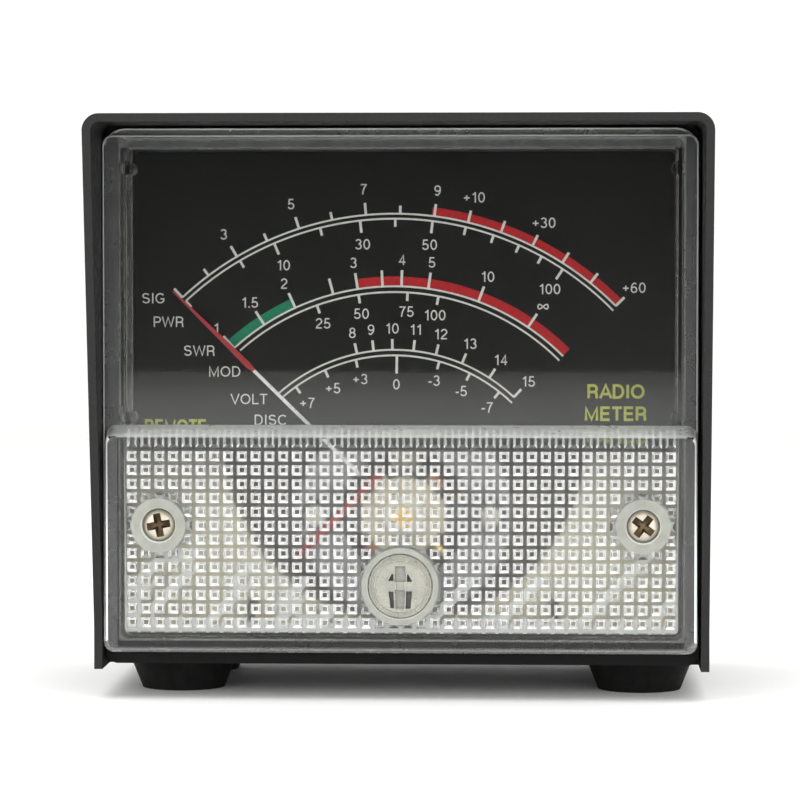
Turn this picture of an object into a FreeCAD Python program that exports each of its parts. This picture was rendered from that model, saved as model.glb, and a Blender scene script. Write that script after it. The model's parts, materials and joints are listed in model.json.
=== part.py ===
import FreeCAD, Part
import math
import os

# External multi-scale meter for a radio transceiver: a moving-coil panel meter behind a clear
# moulded front, in a folded steel case with a visor, with its input jacks at the rear.
#
# Frame: X to the right, Y to the back, Z up, millimetres. The origin is under the middle of the
# case, on the surface that its feet stand on. Places along Y are first given as depths behind the
# foremost face of the clear front, and heights from a datum near the feet's lower ends; FACE_Y and
# DATUM_HEIGHT move them into the frame when a piece is saved.

V = FreeCAD.Vector
FACE_Y = -22.0
DATUM_HEIGHT = 2.0

# Folded case
CASE_WIDTH = 90.0
CASE_TOP = 83.2
SHEET = 1.2
CASE_BEND = 2.5
VISOR_FRONT = -10.0
SIDE_FRONT = 2.0
SLANT_FOOT = 8.7
COVER_BOTTOM = 2.4
COVER_REAR = 51.7
HALF = CASE_WIDTH / 2
COVER_SCREW_Z = 9.4
COVER_SCREW_DEPTHS = (22.0, 42.0)

# Chassis: front frame, floor, rear panel and two low side flanges
CHASSIS_HALF = 43.6
CHASSIS_BOTTOM = 3.0
CHASSIS_TOP = 81.8
CHASSIS_CORNER = 1.8
FRAME_FRONT = 4.7
FRAME_BACK = FRAME_FRONT + SHEET
PANEL_BACK = 51.2
PANEL_FRONT = PANEL_BACK - SHEET
FLANGE_TOP = 14.0
CUTOUT_HALF = 41.5
CUTOUT_BOTTOM = 6.5
CUTOUT_TOP = 80.5

# Feet: the four stand a little to the right of the middle
FOOT_BOTTOM = -DATUM_HEIGHT
FOOT_HEIGHT = CHASSIS_BOTTOM - FOOT_BOTTOM
FOOT_TOP_R = 8.2
FOOT_BOTTOM_R = 6.2
FOOT_WELL_R = 3.4
FOOT_WELL_TOP = 1.2
FOOT_SPREAD = 34.4
FOOT_SHIFT = 0.85
FOOT_DEPTHS = (18.5, 42.0)
M3_R = 1.45
M3_HOLE_R = 1.6

# Clear front
LENS_HALF = 43.2
LENS_BOTTOM = 4.85
LENS_TOP = 80.6
LENS_REAR_TOP = 81.6
WINDOW_FRONT = 2.5
WINDOW_BACK = 4.3
FLANGE_STEP = 3.7
BLOCK_HALF = 42.8
BLOCK_BOTTOM = 5.4
LEDGE_LOW = 36.9
LEDGE_HIGH = 38.6
LOWER_WALL = 2.2
BOX_HALF = 41.2
BOX_BOTTOM = 6.8
BOX_TOP = 80.2
BOX_BACK = 12.0
ROOM_HALF = 40.4
ROOM_BOTTOM = 7.9
ROOM_TOP = 78.8
RIB_R = 1.05
RIB_HEIGHTS = (39.1, 75.8)
LENS_SCREW_X = 35.3
LENS_SCREW_Z = 23.7
BOSS_R = 3.8
M25_R = 1.2
M25_HEAD_R = 2.3

# Zero adjuster
ZERO_Z = 14.9
ZERO_RING_R = 5.6
ZERO_HEAD_R = 4.6
ZERO_SHAFT_R = 2.4
ZERO_PIN_R = 0.6
ZERO_PIN_OFFSET = 1.2
FORK_HALF_SLOT = 0.7
RUN_CLEARANCE = 0.08
HEAD_CLEARANCE = 0.15

# Moulded base with its round barrel
RIM_HALF = 40.3
PLATE_FRONT = 14.0
PLATE_BACK = 16.0
BARREL_Z = 35.2
BARREL_R = 28.2
WELL_R = 27.0
FLOOR_FRONT = 41.2
FLOOR_BACK = 42.4
CLAMP_X = 36.5
CLAMP_Z = 43.0
TERMINAL_X = 16.0
TERMINAL_Z = 44.0
LAMP_LEAD_X = 22.5
LAMP_LEAD_Z = 11.2
COIL_LEAD_X = -16.0
COIL_LEAD_Z = 17.9

# Dial
DIAL_FRONT = 12.5
DIAL_BACK = 13.0
DIAL_HALF = 40.1
DIAL_BOTTOM = 34.0
DIAL_TOP = 78.4
DIAL_SCREW_X = 21.2
DIAL_SCREW_Z = 35.6

# Moving-coil movement: its axis runs along Y through (0, AXIS_Z)
AXIS_Z = 24.3
YOKE_R = 16.0
YOKE_BORE_R = 9.6
YOKE_FRONT = 19.0
YOKE_BACK = 33.0
CORE_R = 6.5
CORE_END = 0.5
PILLAR_X = 13.0
PILLAR_R = 1.6
BRIDGE = 1.0
FRONT_BRIDGE = 12.2
REAR_BRIDGE = 38.3
BRIDGE_HALF = 2.5
FRONT_DISC_R = 5.8
REAR_DISC_R = 3.4
LEVER_BOSS_R = 1.55
JEWEL_SCREW_R = 1.2
JEWEL_R = 0.9
COIL_FRONT = 16.2
COIL_BACK = 35.8
COIL_HALF = 8.2
WINDING = 0.8
FORMER = 0.3
PIVOT_R = 0.3
COLLET_R = 0.9
SPRING_R = 4.2
SPRING_TURNS = 3.5
SPRING_WIDTH = 0.5
SPRING_THICK = 0.14

# Pointer: it rests at the left end of its scales
REST_ANGLE = -45.6
POINTER_ARM = 15.0
POINTER_FACE = 10.65
POINTER_THICK = 0.3
CRANK_IN = 7.0
CRANK_OUT = 9.0
STEM_END = 31.0
TIP_R = 47.8
STOP_R = 18.0
STOP_ANGLES = (-54.6, 52.4)
TAIL_WEIGHT_R = 0.9
TAIL_WEIGHT_START = 5.55
TAIL_WEIGHT_END = 8.15

# Rear fittings
BOARD_BOTTOM = 64.6
BOARD_TOP = 66.2
JACK_Z = 71.2
JACK_X = 20.0
JACK_END = 54.0
METER_BORE_R = 1.8
METER_BORE_LENGTH = 14.0
METER_NECK_R = 3.0
DC_BORE_R = 2.75
DC_PIN_R = 1.05
DC_NECK_R = 3.9
TRIMMER_Z = 69.8
TRIMMER_BACK = 48.4
ROTOR_R = 1.6
LEAD_R = 0.6
COIL_LEAD_R = 0.6
COIL_LEAD_FRONT = 10.5
LEAD_TAG_R = 7.0
LEAD_TAG_ANGLE = -32.0


# ---- Shapes -------------------------------------------------------------------------------

def block(x0, x1, d0, d1, z0, z1):
    """A box between two values of X, of depth and of Z."""
    return Part.makeBox(x1 - x0, d1 - d0, z1 - z0, V(x0, d0, z0))


def rod(x, z, radius, d0, d1):
    """A round bar along the depth."""
    return Part.makeCylinder(radius, d1 - d0, V(x, d0, z), V(0, 1, 0))


def ring(x, z, outer, inner, d0, d1):
    """A round tube along the depth."""
    return rod(x, z, outer, d0, d1).cut(rod(x, z, inner, d0 - 1, d1 + 1))


def post(x, d, radius, z0, z1):
    """A round bar along Z."""
    return Part.makeCylinder(radius, z1 - z0, V(x, d, z0), V(0, 0, 1))


def taper(x, z, r0, r1, d0, d1):
    """A cone along the depth, of radius r0 at d0 and r1 at d1."""
    return Part.makeCone(r0, r1, d1 - d0, V(x, d0, z), V(0, 1, 0))


def hexagon(x, z, across, d0, d1):
    """A hexagonal bar along the depth."""
    radius = across / 2 / math.cos(math.pi / 6)
    corners = []
    for step in range(7):
        angle = math.pi / 3 * step
        corners.append(V(x + radius * math.cos(angle), d0, z + radius * math.sin(angle)))
    face = Part.Face(Part.makePolygon(corners))
    return face.extrude(V(0, d1 - d0, 0))


def plate(half, z0, z1, corner, d0, d1):
    """An upright plate, seen from the front as a rounded rectangle."""
    slab = block(-half, half, d0, d1, z0, z1)
    edges = [e for e in slab.Edges if abs(e.tangentAt(e.FirstParameter).y) > 0.9]
    return slab.makeFillet(corner, edges)


def arch(half, top, corner, d0, d1, bottom):
    """A long block whose two upper edges are rounded."""
    slab = block(-half, half, d0, d1, bottom, top)
    edges = []
    for edge in slab.Edges:
        if abs(edge.tangentAt(edge.FirstParameter).y) > 0.9 and edge.CenterOfMass.z > top - 0.1:
            edges.append(edge)
    return slab.makeFillet(corner, edges)


def side_profile(points, x0, x1):
    """A shape whose outline in depth and Z is the same all the way from x0 to x1."""
    corners = [V(x0, d, z) for d, z in points]
    face = Part.Face(Part.makePolygon(corners + corners[:1]))
    return face.extrude(V(x1 - x0, 0, 0))


def front_profile(points, d0, d1):
    """A shape whose outline in X and Z is the same all the way from d0 to d1."""
    corners = [V(x, d0, z) for x, z in points]
    face = Part.Face(Part.makePolygon(corners + corners[:1]))
    return face.extrude(V(0, d1 - d0, 0))


def joined(shapes):
    """One solid from shapes that meet."""
    whole = shapes[0]
    for shape in shapes[1:]:
        whole = whole.fuse(shape)
    return whole.removeSplitter()


def without(shape, tools):
    """The shape with every tool cut out of it."""
    for tool in tools:
        shape = shape.cut(tool)
    return shape


def pan_screw(head_r, head_height, shank_r, length):
    """A cross-recess screw along +Y, its seat at the origin and its head in front of it."""
    head = rod(0, 0, head_r, -head_height, 0)
    rim = [e for e in head.Edges if e.CenterOfMass.y < -head_height + 0.01]
    head = head.makeFillet(head_height * 0.45, rim)
    wing = head_r * 0.58
    web = head_r * 0.16
    floor = -head_height * 0.35
    front = -head_height - 1
    cross = [block(-wing, wing, front, floor, -web, web), block(-web, web, front, floor, -wing, wing)]
    return without(joined([head, rod(0, 0, shank_r, 0, length)]), cross)


def aimed(shape, x, d, z, direction, spin=0):
    """A copy of a shape made along +Y, spun about itself, turned to a direction and placed."""
    copy = shape.copy()
    copy.rotate(V(0, 0, 0), V(0, 1, 0), spin)
    turn = FreeCAD.Rotation(V(0, 1, 0), V(*direction))
    copy.rotate(V(0, 0, 0), turn.Axis, math.degrees(turn.Angle))
    copy.translate(V(x, d, z))
    return copy


def about_axis(shape, angle):
    """A shape turned about the movement's axis; a positive angle takes its top to the right."""
    shape.rotate(V(0, 0, AXIS_Z), V(0, 1, 0), angle)
    return shape


def wire(points, radius):
    """A round lead: straight runs through the points, joined by tangent arcs."""
    corners = [V(*p) for p in points]
    edges = []
    start = corners[0]
    for before, corner, after in zip(corners, corners[1:], corners[2:]):
        back = (before - corner).normalize()
        ahead = (after - corner).normalize()
        shorter = min(before.distanceToPoint(corner), corner.distanceToPoint(after))
        setback = 0.45 * shorter
        half_turn = (math.pi - back.getAngle(ahead)) / 2
        bend = setback / math.tan(half_turn)
        middle = corner + (back + ahead).normalize() * (bend / math.cos(half_turn) - bend)
        arc_start = corner + back * setback
        arc_end = corner + ahead * setback
        edges.append(Part.LineSegment(start, arc_start).toShape())
        edges.append(Part.Arc(arc_start, middle, arc_end).toShape())
        start = arc_end
    edges.append(Part.LineSegment(start, corners[-1]).toShape())
    path = Part.Wire(edges)
    circle = Part.Circle(corners[0], corners[1] - corners[0], radius).toShape()
    return path.makePipeShell([Part.Wire([circle])], True, True)


def hairspring(d0, d1):
    """A flat spiral ribbon of half turns, ending under the axis at SPRING_R."""
    halves = int(2 * SPRING_TURNS)
    inner = COLLET_R + 0.1 + SPRING_THICK
    growth = (SPRING_R - inner) / halves
    pieces = []
    for step in range(halves):
        outer = inner + growth * (step + 0.5)
        side = 1 if step % 2 else -1
        centre_z = AXIS_Z + side * growth / 2
        band = ring(0, centre_z, outer, outer - SPRING_THICK, d0, d1)
        reach = SPRING_R + 2
        keep = block(0, reach, d0, d1, AXIS_Z - reach, AXIS_Z + reach)
        if side < 0:
            keep.translate(V(-reach, 0, 0))
        pieces.append(band.common(keep))
    return joined(pieces)


def save(name, shapes):
    """Write one node: a solid, or a group of separate solids."""
    whole = shapes[0] if len(shapes) == 1 else Part.makeCompound(shapes)
    placed = whole.copy()
    placed.translate(V(0, FACE_Y, DATUM_HEIGHT))
    placed.exportStep("parts/" + name + ".step")


# ---- Case ---------------------------------------------------------------------------------

def foot_places():
    """The X and the depth of each foot."""
    return [(side * FOOT_SPREAD + FOOT_SHIFT, depth) for side in (-1, 1) for depth in FOOT_DEPTHS]


def cover_screw_places():
    """The side and the depth of each screw that holds the cover."""
    return [(side, depth) for side in (-1, 1) for depth in COVER_SCREW_DEPTHS]


def countersunk_cone(side, depth):
    """The conical seat of a cover screw, as deep as the sheet."""
    return Part.makeCone(2.8, M3_HOLE_R, SHEET, V(side * HALF, depth, COVER_SCREW_Z), V(-side, 0, 0))


def case_cover():
    outer = arch(HALF, CASE_TOP, CASE_BEND, VISOR_FRONT, COVER_REAR, COVER_BOTTOM)
    inner = arch(HALF - SHEET, CASE_TOP - SHEET, CASE_BEND - SHEET, VISOR_FRONT - 1, COVER_REAR + 1,
                 COVER_BOTTOM - 1)
    outline = [(VISOR_FRONT, CASE_TOP + 1), (COVER_REAR, CASE_TOP + 1), (COVER_REAR, COVER_BOTTOM),
               (SIDE_FRONT, COVER_BOTTOM), (SIDE_FRONT, SLANT_FOOT), (VISOR_FRONT, CASE_TOP)]
    sides = side_profile(outline, -HALF - 1, HALF + 1)
    cones = [countersunk_cone(side, depth) for side, depth in cover_screw_places()]
    return without(outer.cut(inner).common(sides), cones)


def cover_screws():
    screws = []
    for side, depth in cover_screw_places():
        head = countersunk_cone(side, depth)
        shank = Part.makeCylinder(M3_R, 3.2, V(side * (HALF - SHEET), depth, COVER_SCREW_Z), V(-side, 0, 0))
        outside = side * HALF
        slots = []
        for wide, high in ((1.5, 0.35), (0.35, 1.5)):
            slots.append(block(outside - 0.8, outside + 0.8, depth - wide, depth + wide,
                               COVER_SCREW_Z - high, COVER_SCREW_Z + high))
        screws.append(without(joined([head, shank]), slots))
    return screws


def chassis():
    front = plate(CHASSIS_HALF, CHASSIS_BOTTOM, CHASSIS_TOP, CHASSIS_CORNER, FRAME_FRONT, FRAME_BACK)
    front = front.cut(block(-CUTOUT_HALF, CUTOUT_HALF, 0, 10, CUTOUT_BOTTOM, CUTOUT_TOP))
    rear = plate(CHASSIS_HALF, CHASSIS_BOTTOM, CHASSIS_TOP, CHASSIS_CORNER, PANEL_FRONT, PANEL_BACK)
    floor_top = CHASSIS_BOTTOM + SHEET
    floor = block(-CHASSIS_HALF, CHASSIS_HALF, FRAME_BACK, PANEL_FRONT, CHASSIS_BOTTOM, floor_top)
    pieces = [front, floor, rear]
    for side in (-1, 1):
        near = min(side * CHASSIS_HALF, side * (CHASSIS_HALF - SHEET))
        pieces.append(block(near, near + SHEET, FRAME_BACK, PANEL_FRONT, CHASSIS_BOTTOM, FLANGE_TOP))
    holes = [post(x, depth, M3_HOLE_R, 0, 10) for x, depth in foot_places()]
    for side, depth in cover_screw_places():
        start = V(side * (HALF - 5), depth, COVER_SCREW_Z)
        holes.append(Part.makeCylinder(M3_HOLE_R, 6, start, V(side, 0, 0)))
    holes.append(rod(-JACK_X, JACK_Z, METER_NECK_R + 0.1, PANEL_FRONT - 1, PANEL_BACK + 1))
    holes.append(rod(JACK_X, JACK_Z, DC_NECK_R + 0.1, PANEL_FRONT - 1, PANEL_BACK + 1))
    holes.append(rod(0, TRIMMER_Z, 1.9, PANEL_FRONT - 1, PANEL_BACK + 1))
    return without(joined(pieces), holes)


def rubber_feet():
    feet = []
    for x, depth in foot_places():
        body = Part.makeCone(FOOT_BOTTOM_R, FOOT_TOP_R, FOOT_HEIGHT, V(x, depth, FOOT_BOTTOM), V(0, 0, 1))
        well = post(x, depth, FOOT_WELL_R, FOOT_BOTTOM - 1, FOOT_WELL_TOP)
        feet.append(without(body, [post(x, depth, 1.7, FOOT_BOTTOM - 1, CHASSIS_BOTTOM + 1), well]))
    return feet


def foot_screws():
    screw = pan_screw(2.8, 1.9, M3_R, 7.0)
    return [aimed(screw, x, depth, FOOT_WELL_TOP, (0, 0, 1), 20 * x) for x, depth in foot_places()]


def foot_nuts():
    nuts = []
    floor_top = CHASSIS_BOTTOM + SHEET
    for x, depth in foot_places():
        nut = hexagon(0, 0, 5.5, 0, 2.4).cut(rod(0, 0, M3_R, -1, 4))
        nuts.append(aimed(nut, x, depth, floor_top, (0, 0, 1)))
    return nuts


# ---- Panel meter: clear front, base and clamps --------------------------------------------

def lens():
    lip = plate(LENS_HALF, LENS_BOTTOM, LENS_TOP, 1.5, WINDOW_FRONT, FLANGE_STEP)
    backing = plate(LENS_HALF + 0.1, LENS_BOTTOM, LENS_REAR_TOP, 3.2, FLANGE_STEP, FRAME_FRONT)
    box = plate(BOX_HALF, BOX_BOTTOM, BOX_TOP, 1.2, FRAME_FRONT, BOX_BACK)
    step = plate(BLOCK_HALF, BLOCK_BOTTOM, LEDGE_HIGH + 2, 1.2, 0, WINDOW_FRONT)
    slope = [(0, BLOCK_BOTTOM - 1), (0, LEDGE_LOW), (WINDOW_FRONT, LEDGE_HIGH),
             (WINDOW_FRONT, BLOCK_BOTTOM - 1)]
    step = step.common(side_profile(slope, -LENS_HALF, LENS_HALF))
    room = plate(ROOM_HALF, ROOM_BOTTOM, ROOM_TOP, 0.8, WINDOW_BACK, BOX_BACK)
    lower = [(LOWER_WALL, ROOM_BOTTOM), (LOWER_WALL, LEDGE_LOW - 1.0), (WINDOW_BACK, LEDGE_HIGH - 1.3),
             (WINDOW_BACK, ROOM_BOTTOM)]
    shell = without(joined([lip, backing, box, step]), [room, side_profile(lower, -ROOM_HALF, ROOM_HALF)])
    inside = block(-BOX_HALF + 0.2, BOX_HALF - 0.2, WINDOW_BACK - 0.5, BOX_BACK, ROOM_BOTTOM, ROOM_TOP)
    additions = [rod(0, ZERO_Z, ZERO_RING_R, LOWER_WALL - 0.2, FRAME_BACK)]
    holes = [rod(0, ZERO_Z, ZERO_HEAD_R + HEAD_CLEARANCE, -1, 2.0),
             rod(0, ZERO_Z, ZERO_SHAFT_R + RUN_CLEARANCE, 0, 7)]
    for side in (-1, 1):
        additions.append(rod(side * LENS_SCREW_X, LENS_SCREW_Z, BOSS_R, LOWER_WALL - 0.2, BOX_BACK))
        holes.append(rod(side * LENS_SCREW_X, LENS_SCREW_Z, M25_HEAD_R + HEAD_CLEARANCE, -1, 2.0))
        holes.append(rod(side * LENS_SCREW_X, LENS_SCREW_Z, M25_R + HEAD_CLEARANCE, 0, 13))
        for height in RIB_HEIGHTS:
            additions.append(rod(side * ROOM_HALF, height, RIB_R, WINDOW_BACK, BOX_BACK).common(inside))
    return without(joined([shell] + additions), holes)


def lens_screws():
    screw = pan_screw(M25_HEAD_R, 1.6, M25_R, 17.0)
    left = aimed(screw, -LENS_SCREW_X, 2.0, LENS_SCREW_Z, (0, 1, 0), -10)
    right = aimed(screw, LENS_SCREW_X, 2.0, LENS_SCREW_Z, (0, 1, 0), 37)
    return [left, right]


def meter_base():
    rim = plate(BOX_HALF, BOX_BOTTOM, BOX_TOP, 1.2, BOX_BACK, PLATE_BACK)
    pocket = plate(RIM_HALF, ROOM_BOTTOM, ROOM_TOP + 0.2, 0.8, BOX_BACK - 1, PLATE_FRONT)
    barrel = rod(0, BARREL_Z, BARREL_R, PLATE_FRONT, FLOOR_BACK)
    well = rod(0, BARREL_Z, WELL_R, BOX_BACK - 1, FLOOR_FRONT)
    shell = joined([rim.cut(pocket), barrel]).cut(well)
    additions = []
    holes = [rod(0, AXIS_Z + up * PILLAR_X, M25_R + 0.05, YOKE_BACK - 1, FLOOR_BACK + 1) for up in (-1, 1)]
    holes.append(rod(COIL_LEAD_X, COIL_LEAD_Z, COIL_LEAD_R + 0.2, FLOOR_FRONT - 1, FLOOR_BACK + 1))
    for up in (-1, 1):
        additions.append(rod(0, AXIS_Z + up * PILLAR_X, 2.4, YOKE_BACK, FLOOR_FRONT + 0.2))
    for side in (-1, 1):
        additions.append(rod(side * DIAL_SCREW_X, DIAL_SCREW_Z, 2.0, DIAL_BACK, FLOOR_FRONT + 0.2))
        holes.append(rod(side * DIAL_SCREW_X, DIAL_SCREW_Z, 0.9, DIAL_BACK - 1, 20))
        additions.append(rod(side * LENS_SCREW_X, LENS_SCREW_Z, 3.2, BOX_BACK, 21))
        holes.append(rod(side * LENS_SCREW_X, LENS_SCREW_Z, M25_R + 0.05, BOX_BACK - 1, 19.5))
        additions.append(rod(side * 30, 74, 2.5, DIAL_BACK, PLATE_FRONT + 0.2))
        holes.append(rod(side * CLAMP_X, CLAMP_Z, M3_R, PLATE_FRONT - 1, PLATE_BACK + 1))
        holes.append(rod(side * CLAMP_X, CLAMP_Z, 2.4, PLATE_FRONT - 1, PLATE_FRONT + 1))
        holes.append(rod(side * TERMINAL_X, TERMINAL_Z, 2.0, FLOOR_FRONT - 1, FLOOR_BACK + 1))
        holes.append(rod(side * LAMP_LEAD_X, LAMP_LEAD_Z, LEAD_R + 0.2, PLATE_FRONT - 1, PLATE_BACK + 1))
    return without(joined([shell] + additions), holes)


def clamp_bars():
    bars = []
    outer = 43.1
    leg = 1.4
    for side in (-1, 1):
        low = min(side * outer, side * (outer - leg))
        foot_low = min(side * outer, side * (CLAMP_X - 4))
        upright = block(low, low + leg, FRAME_BACK, 17.8, CLAMP_Z - 5, CLAMP_Z + 5)
        foot = block(foot_low, foot_low + outer - CLAMP_X + 4, 16.4, 17.8, CLAMP_Z - 5, CLAMP_Z + 5)
        bar = joined([upright, foot])
        bars.append(bar.cut(rod(side * CLAMP_X, CLAMP_Z, 1.7, 15, 19)))
    return bars


def clamp_studs():
    studs = []
    for side in (-1, 1):
        x = side * CLAMP_X
        studs.append(joined([rod(x, CLAMP_Z, 2.4, PLATE_FRONT, PLATE_FRONT + 1),
                             rod(x, CLAMP_Z, M3_R, PLATE_FRONT + 1, 23)]))
    return studs


def clamp_washers():
    return [ring(side * CLAMP_X, CLAMP_Z, 3.0, 1.6, 17.8, 18.3) for side in (-1, 1)]


def clamp_nuts():
    nuts = []
    for side in (-1, 1):
        nut = hexagon(side * CLAMP_X, CLAMP_Z, 5.5, 18.3, 20.7)
        nuts.append(nut.cut(rod(side * CLAMP_X, CLAMP_Z, M3_R, 17, 22)))
    return nuts


def dial_plate():
    sheet = plate(DIAL_HALF, DIAL_BOTTOM, DIAL_TOP, 0.8, DIAL_FRONT, DIAL_BACK)
    holes = [rod(side * DIAL_SCREW_X, DIAL_SCREW_Z, 1.0, 12, 14) for side in (-1, 1)]
    holes += [rod(x, z, 0.45, 12, 14) for x, z in stop_places()]
    return without(sheet, holes)


def dial_screws():
    screw = pan_screw(1.9, 0.9, 0.85, 6.0)
    return [aimed(screw, side * DIAL_SCREW_X, DIAL_FRONT, DIAL_SCREW_Z, (0, 1, 0), 25 * side)
            for side in (-1, 1)]


def stop_places():
    """Where the two stops stand, just beyond the ends of the pointer's travel."""
    places = []
    for angle in STOP_ANGLES:
        turn = math.radians(angle)
        places.append((STOP_R * math.sin(turn), AXIS_Z + STOP_R * math.cos(turn)))
    return places


def stop_pins():
    return [rod(x, z, 0.45, 9.9, DIAL_BACK) for x, z in stop_places()]


# ---- Movement: magnet system and bridges --------------------------------------------------

def yoke_ring():
    body = ring(0, AXIS_Z, YOKE_R, YOKE_BORE_R, YOKE_FRONT, YOKE_BACK)
    holes = []
    for side in (-1, 1):
        holes.append(rod(side * PILLAR_X, AXIS_Z, 0.95, YOKE_FRONT - 1, YOKE_FRONT + 3))
        holes.append(rod(side * PILLAR_X, AXIS_Z, 0.95, YOKE_BACK - 3, YOKE_BACK + 1))
        holes.append(rod(0, AXIS_Z + side * PILLAR_X, M25_R + 0.05, YOKE_BACK - 3, YOKE_BACK + 1))
    return without(body, holes)


def core_magnet():
    return rod(0, AXIS_Z, CORE_R, YOKE_FRONT - CORE_END, YOKE_BACK + CORE_END)


def core_holders():
    gap = ring(0, AXIS_Z, YOKE_BORE_R, CORE_R, YOKE_FRONT + 1, YOKE_BACK - 1)
    upper = gap.common(block(-2.2, 2.2, 0, 50, AXIS_Z, AXIS_Z + 20))
    lower = gap.common(block(-2.2, 2.2, 0, 50, AXIS_Z - 20, AXIS_Z))
    return [upper, lower]


def yoke_screws():
    screw = pan_screw(M25_HEAD_R, 1.6, M25_R, 11.5)
    return [aimed(screw, 0, FLOOR_BACK, AXIS_Z + up * PILLAR_X, (0, -1, 0), 30 * up) for up in (-1, 1)]


def bridge_bar(d0, disc_r):
    """A bridge across the yoke: two arms with rounded ends and a disc in the middle."""
    arm = block(-PILLAR_X, PILLAR_X, d0, d0 + BRIDGE, AXIS_Z - BRIDGE_HALF, AXIS_Z + BRIDGE_HALF)
    ends = [rod(side * PILLAR_X, AXIS_Z, BRIDGE_HALF, d0, d0 + BRIDGE) for side in (-1, 1)]
    return [arm, rod(0, AXIS_Z, disc_r, d0, d0 + BRIDGE)] + ends


def bridge_holes(d0):
    """The holes of a bridge: one for the jewel screw and one over each pillar."""
    holes = [rod(0, AXIS_Z, JEWEL_SCREW_R, d0 - 3, d0 + 3)]
    return holes + [rod(side * PILLAR_X, AXIS_Z, 0.95, d0 - 3, d0 + 3) for side in (-1, 1)]


def front_bridge():
    boss = rod(0, AXIS_Z, LEVER_BOSS_R, FRONT_BRIDGE - 0.9, FRONT_BRIDGE)
    tag = block(-0.9, 0.9, FRONT_BRIDGE, FRONT_BRIDGE + BRIDGE, AXIS_Z + 4, AXIS_Z + LEAD_TAG_R + 0.5)
    tag = about_axis(tag, LEAD_TAG_ANGLE)
    notch = block(-1.3, 1.3, FRONT_BRIDGE - 1, FRONT_BRIDGE + 2,
                  AXIS_Z - FRONT_DISC_R - 1, AXIS_Z - SPRING_R + 0.6)
    solid = joined(bridge_bar(FRONT_BRIDGE, FRONT_DISC_R) + [boss, tag])
    return without(solid, bridge_holes(FRONT_BRIDGE) + [notch])


def rear_bridge():
    spring_stud = rod(0, AXIS_Z - SPRING_R - 0.4, 0.4, REAR_BRIDGE - 1.9, REAR_BRIDGE + BRIDGE)
    stud_arm = block(-0.7, 0.7, REAR_BRIDGE, REAR_BRIDGE + BRIDGE, AXIS_Z - SPRING_R - 1.2, AXIS_Z)
    solid = joined(bridge_bar(REAR_BRIDGE, REAR_DISC_R) + [stud_arm, spring_stud])
    return without(solid, bridge_holes(REAR_BRIDGE))


def bridge_pillars():
    pillars = []
    for side in (-1, 1):
        x = side * PILLAR_X
        pillars.append(ring(x, AXIS_Z, PILLAR_R, 0.95, FRONT_BRIDGE + BRIDGE, YOKE_FRONT))
        pillars.append(ring(x, AXIS_Z, PILLAR_R, 0.95, YOKE_BACK, REAR_BRIDGE))
    return pillars


def bridge_screws():
    screws = []
    for side in (-1, 1):
        x = side * PILLAR_X
        front = pan_screw(1.7, 1.0, 0.9, 9.3)
        rear = pan_screw(1.7, 1.0, 0.9, 8.8)
        screws.append(aimed(front, x, FRONT_BRIDGE, AXIS_Z, (0, 1, 0), 15 * side))
        screws.append(aimed(rear, x, REAR_BRIDGE + BRIDGE, AXIS_Z, (0, -1, 0), 15 * side))
    return screws


def jewel_screws():
    """The two bearing screws, each with a driver slot in its outer end."""
    front = rod(0, AXIS_Z, JEWEL_SCREW_R, FRONT_BRIDGE - 1.6, FRONT_BRIDGE + BRIDGE)
    rear = rod(0, AXIS_Z, JEWEL_SCREW_R, REAR_BRIDGE - 0.5, REAR_BRIDGE + 2.1)
    front_slot = block(-2, 2, FRONT_BRIDGE - 2, FRONT_BRIDGE - 1.2, AXIS_Z - 0.2, AXIS_Z + 0.2)
    rear_slot = block(-2, 2, REAR_BRIDGE + 1.7, REAR_BRIDGE + 3, AXIS_Z - 0.2, AXIS_Z + 0.2)
    return [front.cut(front_slot), rear.cut(rear_slot)]


def jewel_locknuts():
    front = hexagon(0, AXIS_Z, 3.2, FRONT_BRIDGE - 1.5, FRONT_BRIDGE - 0.9)
    rear = hexagon(0, AXIS_Z, 3.2, REAR_BRIDGE + BRIDGE, REAR_BRIDGE + BRIDGE + 0.8)
    screw = rod(0, AXIS_Z, JEWEL_SCREW_R, 0, 60)
    return [front.cut(screw), rear.cut(screw)]


def jewels():
    """Two stones with a conical cup for the pivot's point."""
    front_face = FRONT_BRIDGE + BRIDGE
    rear_face = REAR_BRIDGE - 0.5
    front = rod(0, AXIS_Z, JEWEL_R, front_face, front_face + 0.6)
    rear = rod(0, AXIS_Z, JEWEL_R, rear_face - 0.6, rear_face)
    front_cup = taper(0, AXIS_Z, 0.1, 0.5, front_face + 0.1, front_face + 0.6)
    rear_cup = taper(0, AXIS_Z, 0.5, 0.1, rear_face - 0.6, rear_face - 0.1)
    return [front.cut(front_cup), rear.cut(rear_cup)]


def front_hairspring():
    return hairspring(14.1, 14.1 + SPRING_WIDTH)


def rear_hairspring():
    return hairspring(36.4, 36.4 + SPRING_WIDTH)


# ---- Movement: coil and pointer -----------------------------------------------------------

def coil_frame():
    """The bare former that the wire is wound on, seen along the pointer as a tall rectangle."""
    half = COIL_HALF - WINDING
    front = COIL_FRONT + WINDING
    back = COIL_BACK - WINDING
    outer = block(-half, half, front, back, AXIS_Z - 1.2, AXIS_Z + 1.2)
    inner = block(-half + FORMER, half - FORMER, front + FORMER, back - FORMER, AXIS_Z - 2, AXIS_Z + 2)
    return about_axis(outer.cut(inner), REST_ANGLE)


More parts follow.
